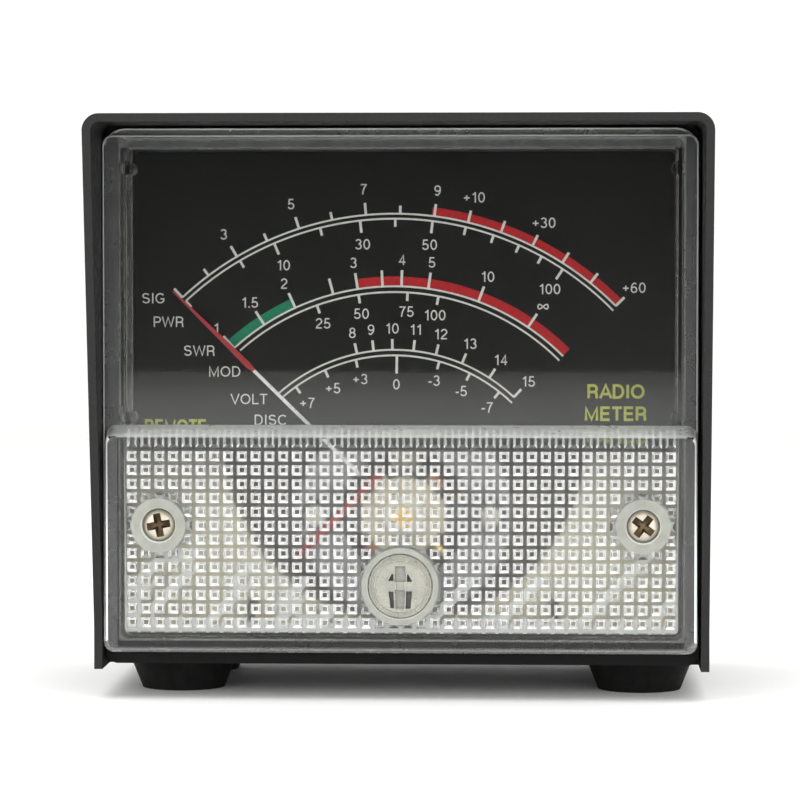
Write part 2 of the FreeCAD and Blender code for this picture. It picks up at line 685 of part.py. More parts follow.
def coil_winding():
    half = COIL_HALF - WINDING
    outer = block(-COIL_HALF, COIL_HALF, COIL_FRONT, COIL_BACK, AXIS_Z - 1.0, AXIS_Z + 1.0)
    long_edges = [e for e in outer.Edges if abs(e.tangentAt(e.FirstParameter).z) > 0.9]
    outer = outer.makeFillet(0.7, long_edges)
    inner = block(-half, half, COIL_FRONT + WINDING, COIL_BACK - WINDING, AXIS_Z - 2, AXIS_Z + 2)
    return about_axis(outer.cut(inner), REST_ANGLE)


def coil_hubs():
    """The front hub, which the pointer sits on, and the rear collet."""
    front = joined([rod(0, AXIS_Z, 1.8, POINTER_ARM - 0.1, COIL_FRONT),
                    rod(0, AXIS_Z, COLLET_R, 14.0, POINTER_ARM)])
    rear = rod(0, AXIS_Z, COLLET_R, COIL_BACK, 37.0)
    staff = rod(0, AXIS_Z, PIVOT_R, 10, 40)
    return [front.cut(staff), rear.cut(staff)]


def pivots():
    """Two steel pivots whose points run in the jewels."""
    point_r = 0.04
    front = joined([rod(0, AXIS_Z, PIVOT_R, 13.85, COIL_FRONT),
                    taper(0, AXIS_Z, point_r, PIVOT_R, 13.42, 13.85)])
    rear = joined([rod(0, AXIS_Z, PIVOT_R, COIL_BACK, 37.15),
                   taper(0, AXIS_Z, PIVOT_R, point_r, 37.15, 37.58)])
    return [front, rear]


def pointer_arm():
    """The cranked metal arm, with the tail and the two side arms that carry the weights."""
    back = POINTER_ARM + 0.4
    stem_back = POINTER_FACE + POINTER_THICK
    outline = [(POINTER_ARM, 2.0), (POINTER_ARM, CRANK_IN), (POINTER_FACE, CRANK_OUT),
               (POINTER_FACE, STEM_END), (stem_back, STEM_END), (stem_back, CRANK_OUT + 0.1),
               (back, CRANK_IN + 0.1), (back, 2.0)]
    stem = side_profile([(d, AXIS_Z + r) for d, r in outline], -0.25, 0.25)
    collar = rod(0, AXIS_Z, 2.5, POINTER_ARM, back)
    tail = block(-0.4, 0.4, POINTER_ARM, back, AXIS_Z - 8.4, AXIS_Z)
    cross = block(-6.4, 6.4, POINTER_ARM, back, AXIS_Z - 0.4, AXIS_Z + 0.4)
    arm = joined([stem, collar, tail, cross]).cut(rod(0, AXIS_Z, 1.8, 10, 20))
    return about_axis(arm, REST_ANGLE)


def pointer_lance():
    """The coloured blade at the end of the stem, widest near its root."""
    root = STEM_END
    outline = [(-0.22, root), (-0.45, root + 1.1), (-0.1, TIP_R),
               (0.1, TIP_R), (0.45, root + 1.1), (0.22, root)]
    blade = front_profile([(x, AXIS_Z + r) for x, r in outline], POINTER_FACE - 0.05, POINTER_FACE + 0.35)
    return about_axis(blade, REST_ANGLE)


def counterweights():
    """Three weights that balance the pointer: a large one on the tail and one on each side arm."""
    strip = block(-0.4, 0.4, POINTER_ARM, POINTER_ARM + 0.4, AXIS_Z - 8.4, AXIS_Z)
    cross = block(-6.4, 6.4, POINTER_ARM, POINTER_ARM + 0.4, AXIS_Z - 0.4, AXIS_Z + 0.4)
    middle = POINTER_ARM + 0.2
    tail = post(0, middle, TAIL_WEIGHT_R, AXIS_Z - TAIL_WEIGHT_END, AXIS_Z - TAIL_WEIGHT_START)
    weights = [about_axis(tail.cut(strip), REST_ANGLE)]
    for side in (-1, 1):
        start = 4.6 if side > 0 else -6.2
        weight = Part.makeCylinder(0.75, 1.6, V(start, middle, AXIS_Z), V(1, 0, 0))
        weights.append(about_axis(weight.cut(cross), REST_ANGLE))
    return weights


# ---- Zero adjuster ------------------------------------------------------------------------

def zero_screw():
    head = rod(0, ZERO_Z, ZERO_HEAD_R, 0.35, 1.9)
    rim = [e for e in head.Edges if e.CenterOfMass.y < 0.4]
    head = head.makeFillet(0.3, rim)
    shaft = rod(0, ZERO_Z, ZERO_SHAFT_R, 1.9, 7.0)
    pin = rod(0, ZERO_Z + ZERO_PIN_OFFSET, ZERO_PIN_R, 7.0, 12.3)
    slot = block(-0.65, 0.65, 0, 1.3, ZERO_Z - 3.4, ZERO_Z + 3.4)
    groove = ring(0, ZERO_Z, 3, 1.9, 6.05, 6.55)
    return without(joined([head, shaft, pin]), [slot, groove])


def zero_retainer():
    """A spring clip in the groove behind the boss, open at its lower side."""
    clip = ring(0, ZERO_Z, 3.7, 1.9, 6.05, 6.55)
    return clip.cut(block(-1.3, 1.3, 6, 7, ZERO_Z - 5, ZERO_Z))


def zero_lever():
    """The lever on the front bridge's boss: a fork for the adjuster's pin and a tab for the spring."""
    front = 11.4
    back = 11.9
    eye = rod(0, AXIS_Z, 3.1, front, back)
    arm = block(-1.1, 1.1, front, back, 17.4, AXIS_Z)
    fork = block(-1.9, 1.9, front, back, 14.4, 18.2)
    tab_top = AXIS_Z - SPRING_R
    tab = block(-0.5, 0.5, front, 14.1 + SPRING_WIDTH, tab_top - 0.8, tab_top)
    slot = block(-FORK_HALF_SLOT, FORK_HALF_SLOT, 11, 12.2, 14, 17.3)
    hole = rod(0, AXIS_Z, LEVER_BOSS_R + RUN_CLEARANCE, 11, 12.2)
    return without(joined([eye, arm, fork, tab]), [slot, hole])


# ---- Terminals, leads and boards ----------------------------------------------------------

def terminal_studs():
    studs = []
    for side in (-1, 1):
        x = side * TERMINAL_X
        studs.append(joined([rod(x, TERMINAL_Z, 3.5, FLOOR_FRONT - 2, FLOOR_FRONT),
                             rod(x, TERMINAL_Z, 2.0, FLOOR_FRONT, 48.0)]))
    return studs


def terminal_washers():
    return [ring(side * TERMINAL_X, TERMINAL_Z, 3.9, 2.0, FLOOR_BACK, FLOOR_BACK + 0.8) for side in (-1, 1)]


def solder_lugs():
    lugs = []
    front = FLOOR_BACK + 0.8
    for side in (-1, 1):
        x = side * TERMINAL_X
        eye = rod(x, TERMINAL_Z, 3.6, front, front + 0.5)
        tab = block(x - 1.2, x + 1.2, front, front + 0.5, TERMINAL_Z - 7.0, TERMINAL_Z + 7.0)
        lugs.append(joined([eye, tab]).cut(rod(x, TERMINAL_Z, 2.0, 40, 50)))
    return lugs


def terminal_nuts():
    front = FLOOR_BACK + 1.3
    nuts = []
    for side in (-1, 1):
        nut = hexagon(side * TERMINAL_X, TERMINAL_Z, 7.0, front, front + 2.4)
        nuts.append(nut.cut(rod(side * TERMINAL_X, TERMINAL_Z, 2.0, 40, 50)))
    return nuts


def terminal_lead(side):
    """A lead from a solder lug up to the underside of the circuit board."""
    x = side * TERMINAL_X
    lug_back = FLOOR_BACK + 1.3
    inward = x - side * 1.6
    return wire([(x, lug_back + LEAD_R, TERMINAL_Z + 5.0), (x, lug_back + LEAD_R, TERMINAL_Z + 11.0),
                 (inward, lug_back + 2.4, TERMINAL_Z + 15.0), (inward, lug_back + 2.4, BOARD_BOTTOM)], LEAD_R)


def lamp_leads():
    """Two leads from the lamp board, through the plate and past the barrel, up to the circuit board."""
    board_top = ROOM_BOTTOM + 1.0
    leads = []
    for side in (-1, 1):
        x = side * LAMP_LEAD_X
        outside = side * 31.2
        leads.append(wire([(x, 10.6, board_top), (x, 10.6, LAMP_LEAD_Z), (x, 29.0, LAMP_LEAD_Z),
                           (outside, 44.5, 32.0), (outside, 44.5, BOARD_BOTTOM)], LEAD_R))
    return leads


def coil_lead():
    """The lead from the left terminal, through the barrel's floor and past the yoke, to the front bridge."""
    lug_back = FLOOR_BACK + 1.3
    behind = lug_back + COIL_LEAD_R
    turn = math.radians(LEAD_TAG_ANGLE)
    tag_x = LEAD_TAG_R * math.sin(turn)
    tag_z = AXIS_Z + LEAD_TAG_R * math.cos(turn)
    return wire([(-TERMINAL_X, behind, TERMINAL_Z - 5.4), (-TERMINAL_X, behind, TERMINAL_Z - 10.0),
                 (COIL_LEAD_X, behind + 1.6, COIL_LEAD_Z + 4.6), (COIL_LEAD_X, behind + 1.6, COIL_LEAD_Z),
                 (COIL_LEAD_X, COIL_LEAD_FRONT, COIL_LEAD_Z),
                 (tag_x, COIL_LEAD_FRONT, tag_z), (tag_x, FRONT_BRIDGE, tag_z)], COIL_LEAD_R)


def circuit_board():
    board = block(-33, 33, 33.5, 49.6, BOARD_BOTTOM, BOARD_TOP)
    holes = [post(side * 30.5, 36.0, 1.6, BOARD_BOTTOM - 1, BOARD_TOP + 1) for side in (-1, 1)]
    return without(board, holes)


def led_board():
    return block(-24, 24, 6.4, 11.4, ROOM_BOTTOM, ROOM_BOTTOM + 1.0)


def leds():
    base = ROOM_BOTTOM + 1.0
    lamps = []
    for side in (-1, 1):
        chip = block(side * 14 - 1.75, side * 14 + 1.75, 7.4, 10.2, base, base + 1.3)
        lamps.append(chip)
    return lamps


def resistors():
    """Two resistors lying across the board, each with its legs bent down to it."""
    pieces = []
    middle = 40.0
    reach = 4.6
    height = BOARD_TOP + 1.7
    for x in (-8.0, 6.5):
        body = rod(x, height, 1.15, middle - 3.1, middle + 3.1)
        ends = (middle - reach, middle + reach)
        legs = wire([(x, ends[0], BOARD_TOP), (x, ends[0], height), (x, ends[1], height),
                     (x, ends[1], BOARD_TOP)], 0.3)
        pieces.append(joined([body, legs]))
    return pieces


def capacitor():
    can = post(-12.0, 45.5, 2.5, BOARD_TOP, BOARD_TOP + 6.5)
    rim = [e for e in can.Edges if e.CenterOfMass.z > BOARD_TOP + 6.4]
    return can.makeFillet(0.4, rim)


def meter_jack():
    body = block(-JACK_X - 5, -JACK_X + 5, 36.5, PANEL_FRONT, BOARD_TOP, JACK_Z + 5)
    neck = rod(-JACK_X, JACK_Z, METER_NECK_R, PANEL_FRONT, JACK_END)
    bore = rod(-JACK_X, JACK_Z, METER_BORE_R, JACK_END - METER_BORE_LENGTH, JACK_END + 1)
    return joined([body, neck]).cut(bore)


def jack_nut():
    nut = rod(-JACK_X, JACK_Z, 4.4, PANEL_BACK, PANEL_BACK + 2.0)
    edges = [e for e in nut.Edges if e.CenterOfMass.y > PANEL_BACK + 1.9]
    nut = nut.makeFillet(0.4, edges)
    slots = []
    for turn in range(4):
        slot = block(-0.5, 0.5, PANEL_BACK + 1.2, PANEL_BACK + 3, 3.4, 6)
        slot.rotate(V(0, 0, 0), V(0, 1, 0), 45 + 90 * turn)
        slot.translate(V(-JACK_X, 0, JACK_Z))
        slots.append(slot)
    return without(nut, [rod(-JACK_X, JACK_Z, METER_NECK_R, 45, 55)] + slots)


def dc_jack():
    body = block(JACK_X - 5.4, JACK_X + 5.4, 36.5, PANEL_FRONT, BOARD_TOP, JACK_Z + 5.4)
    neck = rod(JACK_X, JACK_Z, DC_NECK_R, PANEL_FRONT, 53.6)
    return joined([body, neck]).cut(rod(JACK_X, JACK_Z, DC_BORE_R, 43.6, 55))


def dc_jack_pin():
    pin = rod(JACK_X, JACK_Z, DC_PIN_R, 43.6, 52.6)
    tip = [e for e in pin.Edges if e.CenterOfMass.y > 52.5]
    return pin.makeFillet(0.6, tip)


def dc_jack_nut():
    nut = hexagon(JACK_X, JACK_Z, 11.0, PANEL_BACK, PANEL_BACK + 1.8)
    return nut.cut(rod(JACK_X, JACK_Z, DC_NECK_R, 45, 55))


def trimmer_body():
    body = block(-3.4, 3.4, 42.4, TRIMMER_BACK, BOARD_TOP, TRIMMER_Z + 3.4)
    seat = rod(0, TRIMMER_Z, ROTOR_R + RUN_CLEARANCE, TRIMMER_BACK - 1.0, TRIMMER_BACK + 1)
    bearing = rod(0, TRIMMER_Z, 0.8 + RUN_CLEARANCE, TRIMMER_BACK - 3.2, TRIMMER_BACK)
    return without(body, [seat, bearing])


def trimmer_rotor():
    disc = rod(0, TRIMMER_Z, ROTOR_R, TRIMMER_BACK - 0.85, TRIMMER_BACK + 0.5)
    stem = rod(0, TRIMMER_Z, 0.8, TRIMMER_BACK - 3.0, TRIMMER_BACK - 0.85)
    slot = block(-0.25, 0.25, TRIMMER_BACK, TRIMMER_BACK + 1, TRIMMER_Z - 2, TRIMMER_Z + 2)
    return joined([disc, stem]).cut(slot)


# ---- Nodes --------------------------------------------------------------------------------

SINGLE = [case_cover, chassis, lens, meter_base, dial_plate, yoke_ring, core_magnet, front_bridge,
          rear_bridge, front_hairspring, rear_hairspring, coil_frame, coil_winding, pointer_arm,
          pointer_lance, zero_screw, zero_retainer, zero_lever, coil_lead, circuit_board, led_board,
          capacitor, meter_jack, jack_nut, dc_jack, dc_jack_pin, dc_jack_nut, trimmer_body, trimmer_rotor]
GROUPS = [cover_screws, rubber_feet, foot_screws, foot_nuts, lens_screws, clamp_bars, clamp_studs,
          clamp_washers, clamp_nuts, dial_screws, stop_pins, core_holders, yoke_screws, bridge_pillars,
          bridge_screws, jewel_screws, jewel_locknuts, jewels, coil_hubs, pivots, counterweights,
          terminal_studs, terminal_washers, solder_lugs, terminal_nuts, lamp_leads, leds, resistors]

os.makedirs("parts", exist_ok=True)
for piece in SINGLE:
    save(piece.__name__, [piece()])
for pieces in GROUPS:
    save(pieces.__name__, pieces())
save("terminal_lead_plus", [terminal_lead(-1)])
save("terminal_lead_minus", [terminal_lead(1)])
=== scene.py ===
import json
import math
from collections import namedtuple

import bmesh
import bpy
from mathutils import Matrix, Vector


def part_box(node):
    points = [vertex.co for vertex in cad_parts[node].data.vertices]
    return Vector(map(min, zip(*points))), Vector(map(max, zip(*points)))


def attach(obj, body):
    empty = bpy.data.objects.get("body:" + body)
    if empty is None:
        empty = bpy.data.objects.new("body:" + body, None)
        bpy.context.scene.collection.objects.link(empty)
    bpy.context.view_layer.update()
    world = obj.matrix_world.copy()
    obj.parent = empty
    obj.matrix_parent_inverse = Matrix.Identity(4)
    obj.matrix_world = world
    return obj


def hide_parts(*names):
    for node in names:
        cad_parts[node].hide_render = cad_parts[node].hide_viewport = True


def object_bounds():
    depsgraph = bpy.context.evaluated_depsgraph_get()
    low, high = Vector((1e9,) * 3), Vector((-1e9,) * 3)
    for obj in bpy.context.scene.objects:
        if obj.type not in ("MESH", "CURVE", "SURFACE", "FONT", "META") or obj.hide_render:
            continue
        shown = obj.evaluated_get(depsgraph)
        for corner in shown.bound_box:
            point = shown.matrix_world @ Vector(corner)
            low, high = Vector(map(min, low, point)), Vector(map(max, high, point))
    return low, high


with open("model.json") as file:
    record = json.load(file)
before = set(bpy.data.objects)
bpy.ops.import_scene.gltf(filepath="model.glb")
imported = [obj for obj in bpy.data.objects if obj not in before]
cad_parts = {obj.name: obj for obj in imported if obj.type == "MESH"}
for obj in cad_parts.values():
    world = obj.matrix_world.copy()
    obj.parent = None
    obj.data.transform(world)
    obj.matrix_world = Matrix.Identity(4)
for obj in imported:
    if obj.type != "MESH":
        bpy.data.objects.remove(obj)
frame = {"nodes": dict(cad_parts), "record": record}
cad_low, cad_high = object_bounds()

MM = 0.001
NODES = frame["nodes"]
SLOT_OF = {part["node"]: part["material_slot"] for part in frame["record"]["subparts"]}

# The frame's own places, in millimetres. Depth counts back from the foremost face of the clear front,
# and height from a datum a little above the ground.
DATUM = 2.0
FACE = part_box("lens")[0].y / MM


def corners(node):
    """The two corners of a node's box, with their heights counted from the datum."""
    return [corner / MM - Vector((0, 0, DATUM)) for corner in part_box(node)]


LENS_LOW, LENS_HIGH = corners("lens")
CORE_LOW, CORE_HIGH = corners("core_magnet")
AXIS_Z = (CORE_LOW.z + CORE_HIGH.z) / 2
HEAD_LOW, HEAD_HIGH = corners("zero_screw")
ZERO_Z = (HEAD_LOW.z + HEAD_HIGH.z) / 2
COIL_LOW, COIL_HIGH = corners("coil_winding")
DIAL_FACE = corners("dial_plate")[0].y - FACE
SCREW_LOW, SCREW_HIGH = corners("lens_screws")
SCREW_HEAD_R = (SCREW_HIGH.z - SCREW_LOW.z) / 2
SCREW_X = SCREW_HIGH.x - SCREW_HEAD_R
SCREW_Z = (SCREW_HIGH.z + SCREW_LOW.z) / 2

# Faces larger than this, or that face straight forwards or backwards, are kept flat.
LARGE_PANE = 20 * MM * MM
UPRIGHT = 0.9999


# ---- Mesh helpers ----

def at(x, depth, z):
    """A point of the frame, in metres, from millimetres and a depth behind the clear front's face."""
    return Vector((x, depth + FACE, z + DATUM)) * MM


def loft(bm, loops, closed=False):
    """A skin through rings of points that have the same count, capped at its ends or closed on itself."""
    rings = [[bm.verts.new(at(*point)) for point in loop] for loop in loops]
    count = len(rings[0])
    for near, far in zip(rings, rings[1:] + rings[:1] if closed else rings[1:]):
        for i in range(count):
            j = (i + 1) % count
            bm.faces.new((near[i], near[j], far[j], far[i]))
    if not closed:
        bm.faces.new(tuple(reversed(rings[0])))
        bm.faces.new(tuple(rings[-1]))


def outline(half, low, high, corner, depth, steps=6):
    """A rounded rectangle seen from the front, as a ring of points at one depth."""
    points = []
    for cx, cz, start in ((half, high, 0), (-half, high, 90), (-half, low, 180), (half, low, 270)):
        sx = 1 if cx > 0 else -1
        sz = 1 if cz == high else -1
        for step in range(steps + 1):
            turn = math.radians(start + 90 * step / steps)
            points.append((cx - sx * corner + corner * math.cos(turn), depth,
                           cz - sz * corner + corner * math.sin(turn)))
    return points


def lathe(bm, profile, x, z, steps=64, spin=0.0):
    """A closed turned shape: radii and depths, about a line along the depth."""
    loops = []
    for radius, depth in profile:
        ring = []
        for step in range(steps):
            turn = spin + 2 * math.pi * step / steps
            ring.append((x + radius * math.cos(turn), depth, z + radius * math.sin(turn)))
        loops.append(ring)
    loft(bm, loops)


def solid(name, build):
    """An object whose mesh is what build() adds to an empty bmesh, with its faces turned outwards."""
    bm = bmesh.new()
    build(bm)
    bmesh.ops.recalc_face_normals(bm, faces=bm.faces)
    mesh = bpy.data.meshes.new(name)
    bm.to_mesh(mesh)
    bm.free()
    made = bpy.data.objects.new(name, mesh)
    bpy.context.scene.collection.objects.link(made)
    return made


def settle(target):
    """Makes what the modifiers do part of the mesh."""
    graph = bpy.context.evaluated_depsgraph_get()
    mesh = bpy.data.meshes.new_from_object(target.evaluated_get(graph))
    target.modifiers.clear()
    target.data = mesh


def boolean(target, operation, *builds):
    """Applies a union or a difference with each of the shapes, one after the other."""
    for build in builds:
        tool = solid("tool", build)
        modifier = target.modifiers.new("boolean", "BOOLEAN")
        modifier.object = tool
        modifier.operation = operation
        modifier.solver = "MANIFOLD"
        settle(target)
        bpy.data.objects.remove(tool)


def sort_faces(target, finishes, kind_of):
    """Gives every face the finish that kind_of names for its middle (x, depth, z) and its normal."""
    numbers = {kind: number for number, kind in enumerate(finishes)}
    for face in target.data.polygons:
        middle = face.center / MM
        kind = kind_of(middle.x, middle.y - FACE, middle.z - DATUM, face.normal)
        face.material_index = numbers[kind]


def shade(target, crease):
    """Smooth shading, with edges sharper than crease kept, and large or upright panes left flat."""
    mesh = target.data
    curved = [face.area < LARGE_PANE and abs(face.normal.y) < UPRIGHT for face in mesh.polygons]
    mesh.set_sharp_from_angle(angle=math.radians(crease))
    mesh.polygons.foreach_set("use_smooth", curved)


def place(piece, finishes, body, stands_for=()):
    """Gives a finished piece its materials, its body and the CAD nodes it stands for."""
    kinds = [face.material_index for face in piece.data.polygons]
    piece.data.materials.clear()
    for finish in finishes:
        piece.data.materials.append(finish)
    piece.data.polygons.foreach_set("material_index", kinds)
    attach(piece, body)
    if stands_for:
        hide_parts(*stands_for)


# ---- Materials ----

# The values that noise mostly keeps between, and the clear moulding's index of refraction.
NOISE_LOW, NOISE_HIGH = 0.3, 0.7
CLEAR_IOR = 1.49
# Where a colour mixing node has its two colours and its result.
MIX_FIRST, MIX_SECOND, MIX_RESULT = 6, 7, 2


def add_node(tree, kind, **values):
    """A new node, with its sockets and settings by name; an underscore stands for a socket's space."""
    made = tree.nodes.new(kind)
    for key, value in values.items():
        socket = key.replace("_", " ")
        if socket in made.inputs.keys():
            made.inputs[socket].default_value = value
        else:
            setattr(made, key, value)
    return made


class Surface:
    """A node material on one Principled shader, with its detail built from noise in object space."""

    def __init__(self, name, roughness, **sockets):
        self.material = bpy.data.materials.new(name)
        self.material.use_nodes = True
        self.tree = self.material.node_tree
        self.shader = self.tree.nodes["Principled BSDF"]
        self.shader.inputs["Roughness"].default_value = roughness
        for key, value in sockets.items():
            self.shader.inputs[key.replace("_", " ")].default_value = value
        self.place = self.tree.nodes.new("ShaderNodeTexCoord").outputs["Object"]
        self.bump = None

    def node(self, kind, **values):
        return add_node(self.tree, kind, **values)

    def link(self, source, target):
        self.tree.links.new(source, target)

    def noise(self, size, detail=3.0, rough=0.55, stretch=(1, 1, 1)):
        """Noise whose blobs are about size millimetres across."""
        made = self.node("ShaderNodeTexNoise", Scale=1 / (size * MM), Detail=detail, Roughness=rough)
        mapping = self.node("ShaderNodeMapping", Scale=stretch)
        self.link(self.place, mapping.inputs["Vector"])
        self.link(mapping.outputs["Vector"], made.inputs["Vector"])
        return made.outputs["Fac"]

    def ramp(self, source, dark, light, low=NOISE_LOW, high=NOISE_HIGH):
        """A colour from dark to light, as the source goes from low to high."""
        made = self.node("ShaderNodeValToRGB")
        for element, position, colour in zip(made.color_ramp.elements, (low, high), (dark, light)):
            element.position = position
            element.color = (*colour, 1)
        self.link(source, made.inputs["Fac"])
        return made.outputs["Color"]

    def colour(self, *tones):
        self.link(self.ramp(*tones), self.shader.inputs["Base Color"])

    def two_tones(self, share, clouds, first, second):
        """Base colour that goes over from one tone to another; each tone is a dark and a light colour."""
        tone = self.node("ShaderNodeMix", data_type="RGBA")
        self.link(share, tone.inputs["Factor"])
        self.link(self.ramp(clouds, *first), tone.inputs[MIX_FIRST])
        self.link(self.ramp(clouds, *second), tone.inputs[MIX_SECOND])
        self.link(tone.outputs[MIX_RESULT], self.shader.inputs["Base Color"])

    def coordinate(self, axis):
        parts = self.node("ShaderNodeSeparateXYZ")
        self.link(self.place, parts.inputs["Vector"])
        return parts.outputs[axis]

    def vary(self, socket, source, low, high):
        """Lets a number of the shader follow a source."""
        made = self.node("ShaderNodeMapRange", From_Min=NOISE_LOW, From_Max=NOISE_HIGH, To_Min=low,
                         To_Max=high)
        self.link(source, made.inputs["Value"])
        self.link(made.outputs["Result"], self.shader.inputs[socket])

    def relief(self, source, height, strength=1.0):
        """Bump of that height in millimetres, over any relief added before."""
        made = self.node("ShaderNodeBump", Strength=strength, Distance=height * MM)
        self.link(source, made.inputs["Height"])
        if self.bump:
            self.link(self.bump, made.inputs["Normal"])
        self.bump = made.outputs["Normal"]
        self.link(self.bump, self.shader.inputs["Normal"])


def grey(value, warm=0.0):
    """A grey, or a slightly warm or cool one."""
    return (value * (1 + warm), value, value * (1 - warm))


def paint(name, dark, light, grain, depth, rough, **sockets):
    """Stoved paint with a fine pebbled skin."""
    made = Surface(name, rough, **sockets)
    pebble = made.noise(grain, 2.0, 0.6)
    made.colour(made.noise(grain * 0.9, 4.0), dark, light)
    made.relief(pebble, depth)
    made.relief(made.noise(grain * 6, 3.0), depth * 0.8, 0.5)
    made.vary("Roughness", made.noise(grain * 3, 4.0), rough - 0.07, rough + 0.08)
    return made.material


def metal(name, dark, light, rough, stretch=(1, 1, 1), grain=0.25, depth=0.004, tarnish=4.0):
    """Metal with fine tool marks along the axis whose stretch is least, and faint cloudy tarnish."""
    made = Surface(name, rough, Metallic=1.0)
    made.colour(made.noise(tarnish, 5.0, 0.6), dark, light)
    marks = made.noise(grain, 4.0, 0.6, stretch)
    made.relief(marks, depth)
    made.vary("Roughness", marks, rough - 0.06, rough + 0.09)
    return made.material


def skin(name, rough, tones, clouds, grain, depth, gloss, span, **sockets):
    """Two clouded tones, a relief of some depth and a gloss of some span, each from its own noise."""
    made = Surface(name, rough, **sockets)
    made.colour(made.noise(*clouds), *tones)
    made.relief(made.noise(*grain), depth)
    made.vary("Roughness", made.noise(*gloss), *span)
    return made.material


def plastic(name, dark, light, rough, grain=0.35, depth=0.006, flow=9.0, **sockets):
    """Moulded plastic with a fine spark-eroded skin and faint flow clouds."""
    return skin(name, rough, (dark, light), (flow, 4.0, 0.6), (grain, 3.0, 0.6), depth, (grain * 8, 4.0),
                (rough - 0.05, rough + 0.07), **sockets)


def clear(name, tint, rough):
    """Clear moulded plastic with faint polishing marks."""
    made = Surface(name, rough, Transmission_Weight=1.0, IOR=CLEAR_IOR)
    made.colour(made.noise(30.0, 2.0), tint, tuple(min(1.0, c * 1.015) for c in tint))
    made.relief(made.noise(9.0, 2.0, 0.5), 0.004, 0.6)
    made.vary("Roughness", made.noise(1.2, 5.0, 0.7, (1, 1, 0.12)), rough * 0.4, rough * 1.6)
    return made.material


def hazy(name, dark, light, rough, grain, depth, flow, through):
    """Clear moulding gone hazy or milky, which lets through only that share of the light."""
    return plastic(name, dark, light, rough, grain, depth, flow, Transmission_Weight=through, IOR=CLEAR_IOR)


def split_finish(name, split, inner, outer, cloud):
    """Moulding of one tone in the middle and another beyond that X: each tone from dark to light."""
    made = Surface(name, 0.42)
    away = made.node("ShaderNodeMath", operation="ABSOLUTE")
    made.link(made.coordinate("X"), away.inputs[0])
    beyond = made.node("ShaderNodeMath", operation="GREATER_THAN")
    beyond.inputs[1].default_value = split * MM
    made.link(away.outputs[0], beyond.inputs[0])
    made.two_tones(beyond.outputs[0], made.noise(cloud, 4.0), inner, outer)
    made.relief(made.noise(0.3, 3.0), 0.006)
    made.vary("Roughness", made.noise(cloud, 3.0), 0.36, 0.48)
    return made.material


def base_with_painted_shade(low, high):
    """Cream moulding with painted shade: it grows darker upwards, as the shadow where the dial plate
    overhangs it.
    """
    made = Surface("base_moulding_painted_shade", 0.42, Subsurface_Weight=0.08)
    rise = made.node("ShaderNodeMapRange", interpolation_type="SMOOTHSTEP",
                     From_Min=(DATUM + low) * MM, From_Max=(DATUM + high) * MM)
    made.link(made.coordinate("Z"), rise.inputs["Value"])
    # The second tone is painted shade, darker where the dial plate would shadow the base.
    made.two_tones(rise.outputs["Result"], made.noise(9.0, 4.0, 0.6),
                   CREAM, ((0.19, 0.175, 0.15), (0.27, 0.25, 0.215)))
    made.relief(made.noise(0.35, 3.0, 0.6), 0.006)
    made.vary("Roughness", made.noise(2.8, 4.0), 0.37, 0.49)
    return made.material


def board():
    """Green solder mask over woven board."""
    made = Surface("solder_mask", 0.34, Coat_Weight=0.4)
    weave = made.node("ShaderNodeTexBrick", Scale=1 / (2.4 * MM), Mortar_Size=0.03)
    made.link(made.place, weave.inputs["Vector"])
    made.colour(weave.outputs["Fac"], (0.012, 0.085, 0.03), (0.03, 0.17, 0.06), 0.1, 0.9)
    made.relief(made.noise(0.5, 3.0), 0.01)
    made.vary("Roughness", made.noise(2.0, 3.0), 0.28, 0.42)
    return made.material


def ink(name, dark, light):
    """Screen-printing ink: slightly uneven and matt."""
    return skin(name, 0.5, (dark, light), (0.5, 4.0, 0.7), (0.12, 3.0, 0.7), 0.006, (0.8, 3.0), (0.44, 0.58),
                Specular_IOR_Level=0.2)


CREAM = ((0.66, 0.60, 0.46), (0.76, 0.70, 0.56))
WHITE_MOULDING = (grey(0.66), grey(0.76, 0.02))

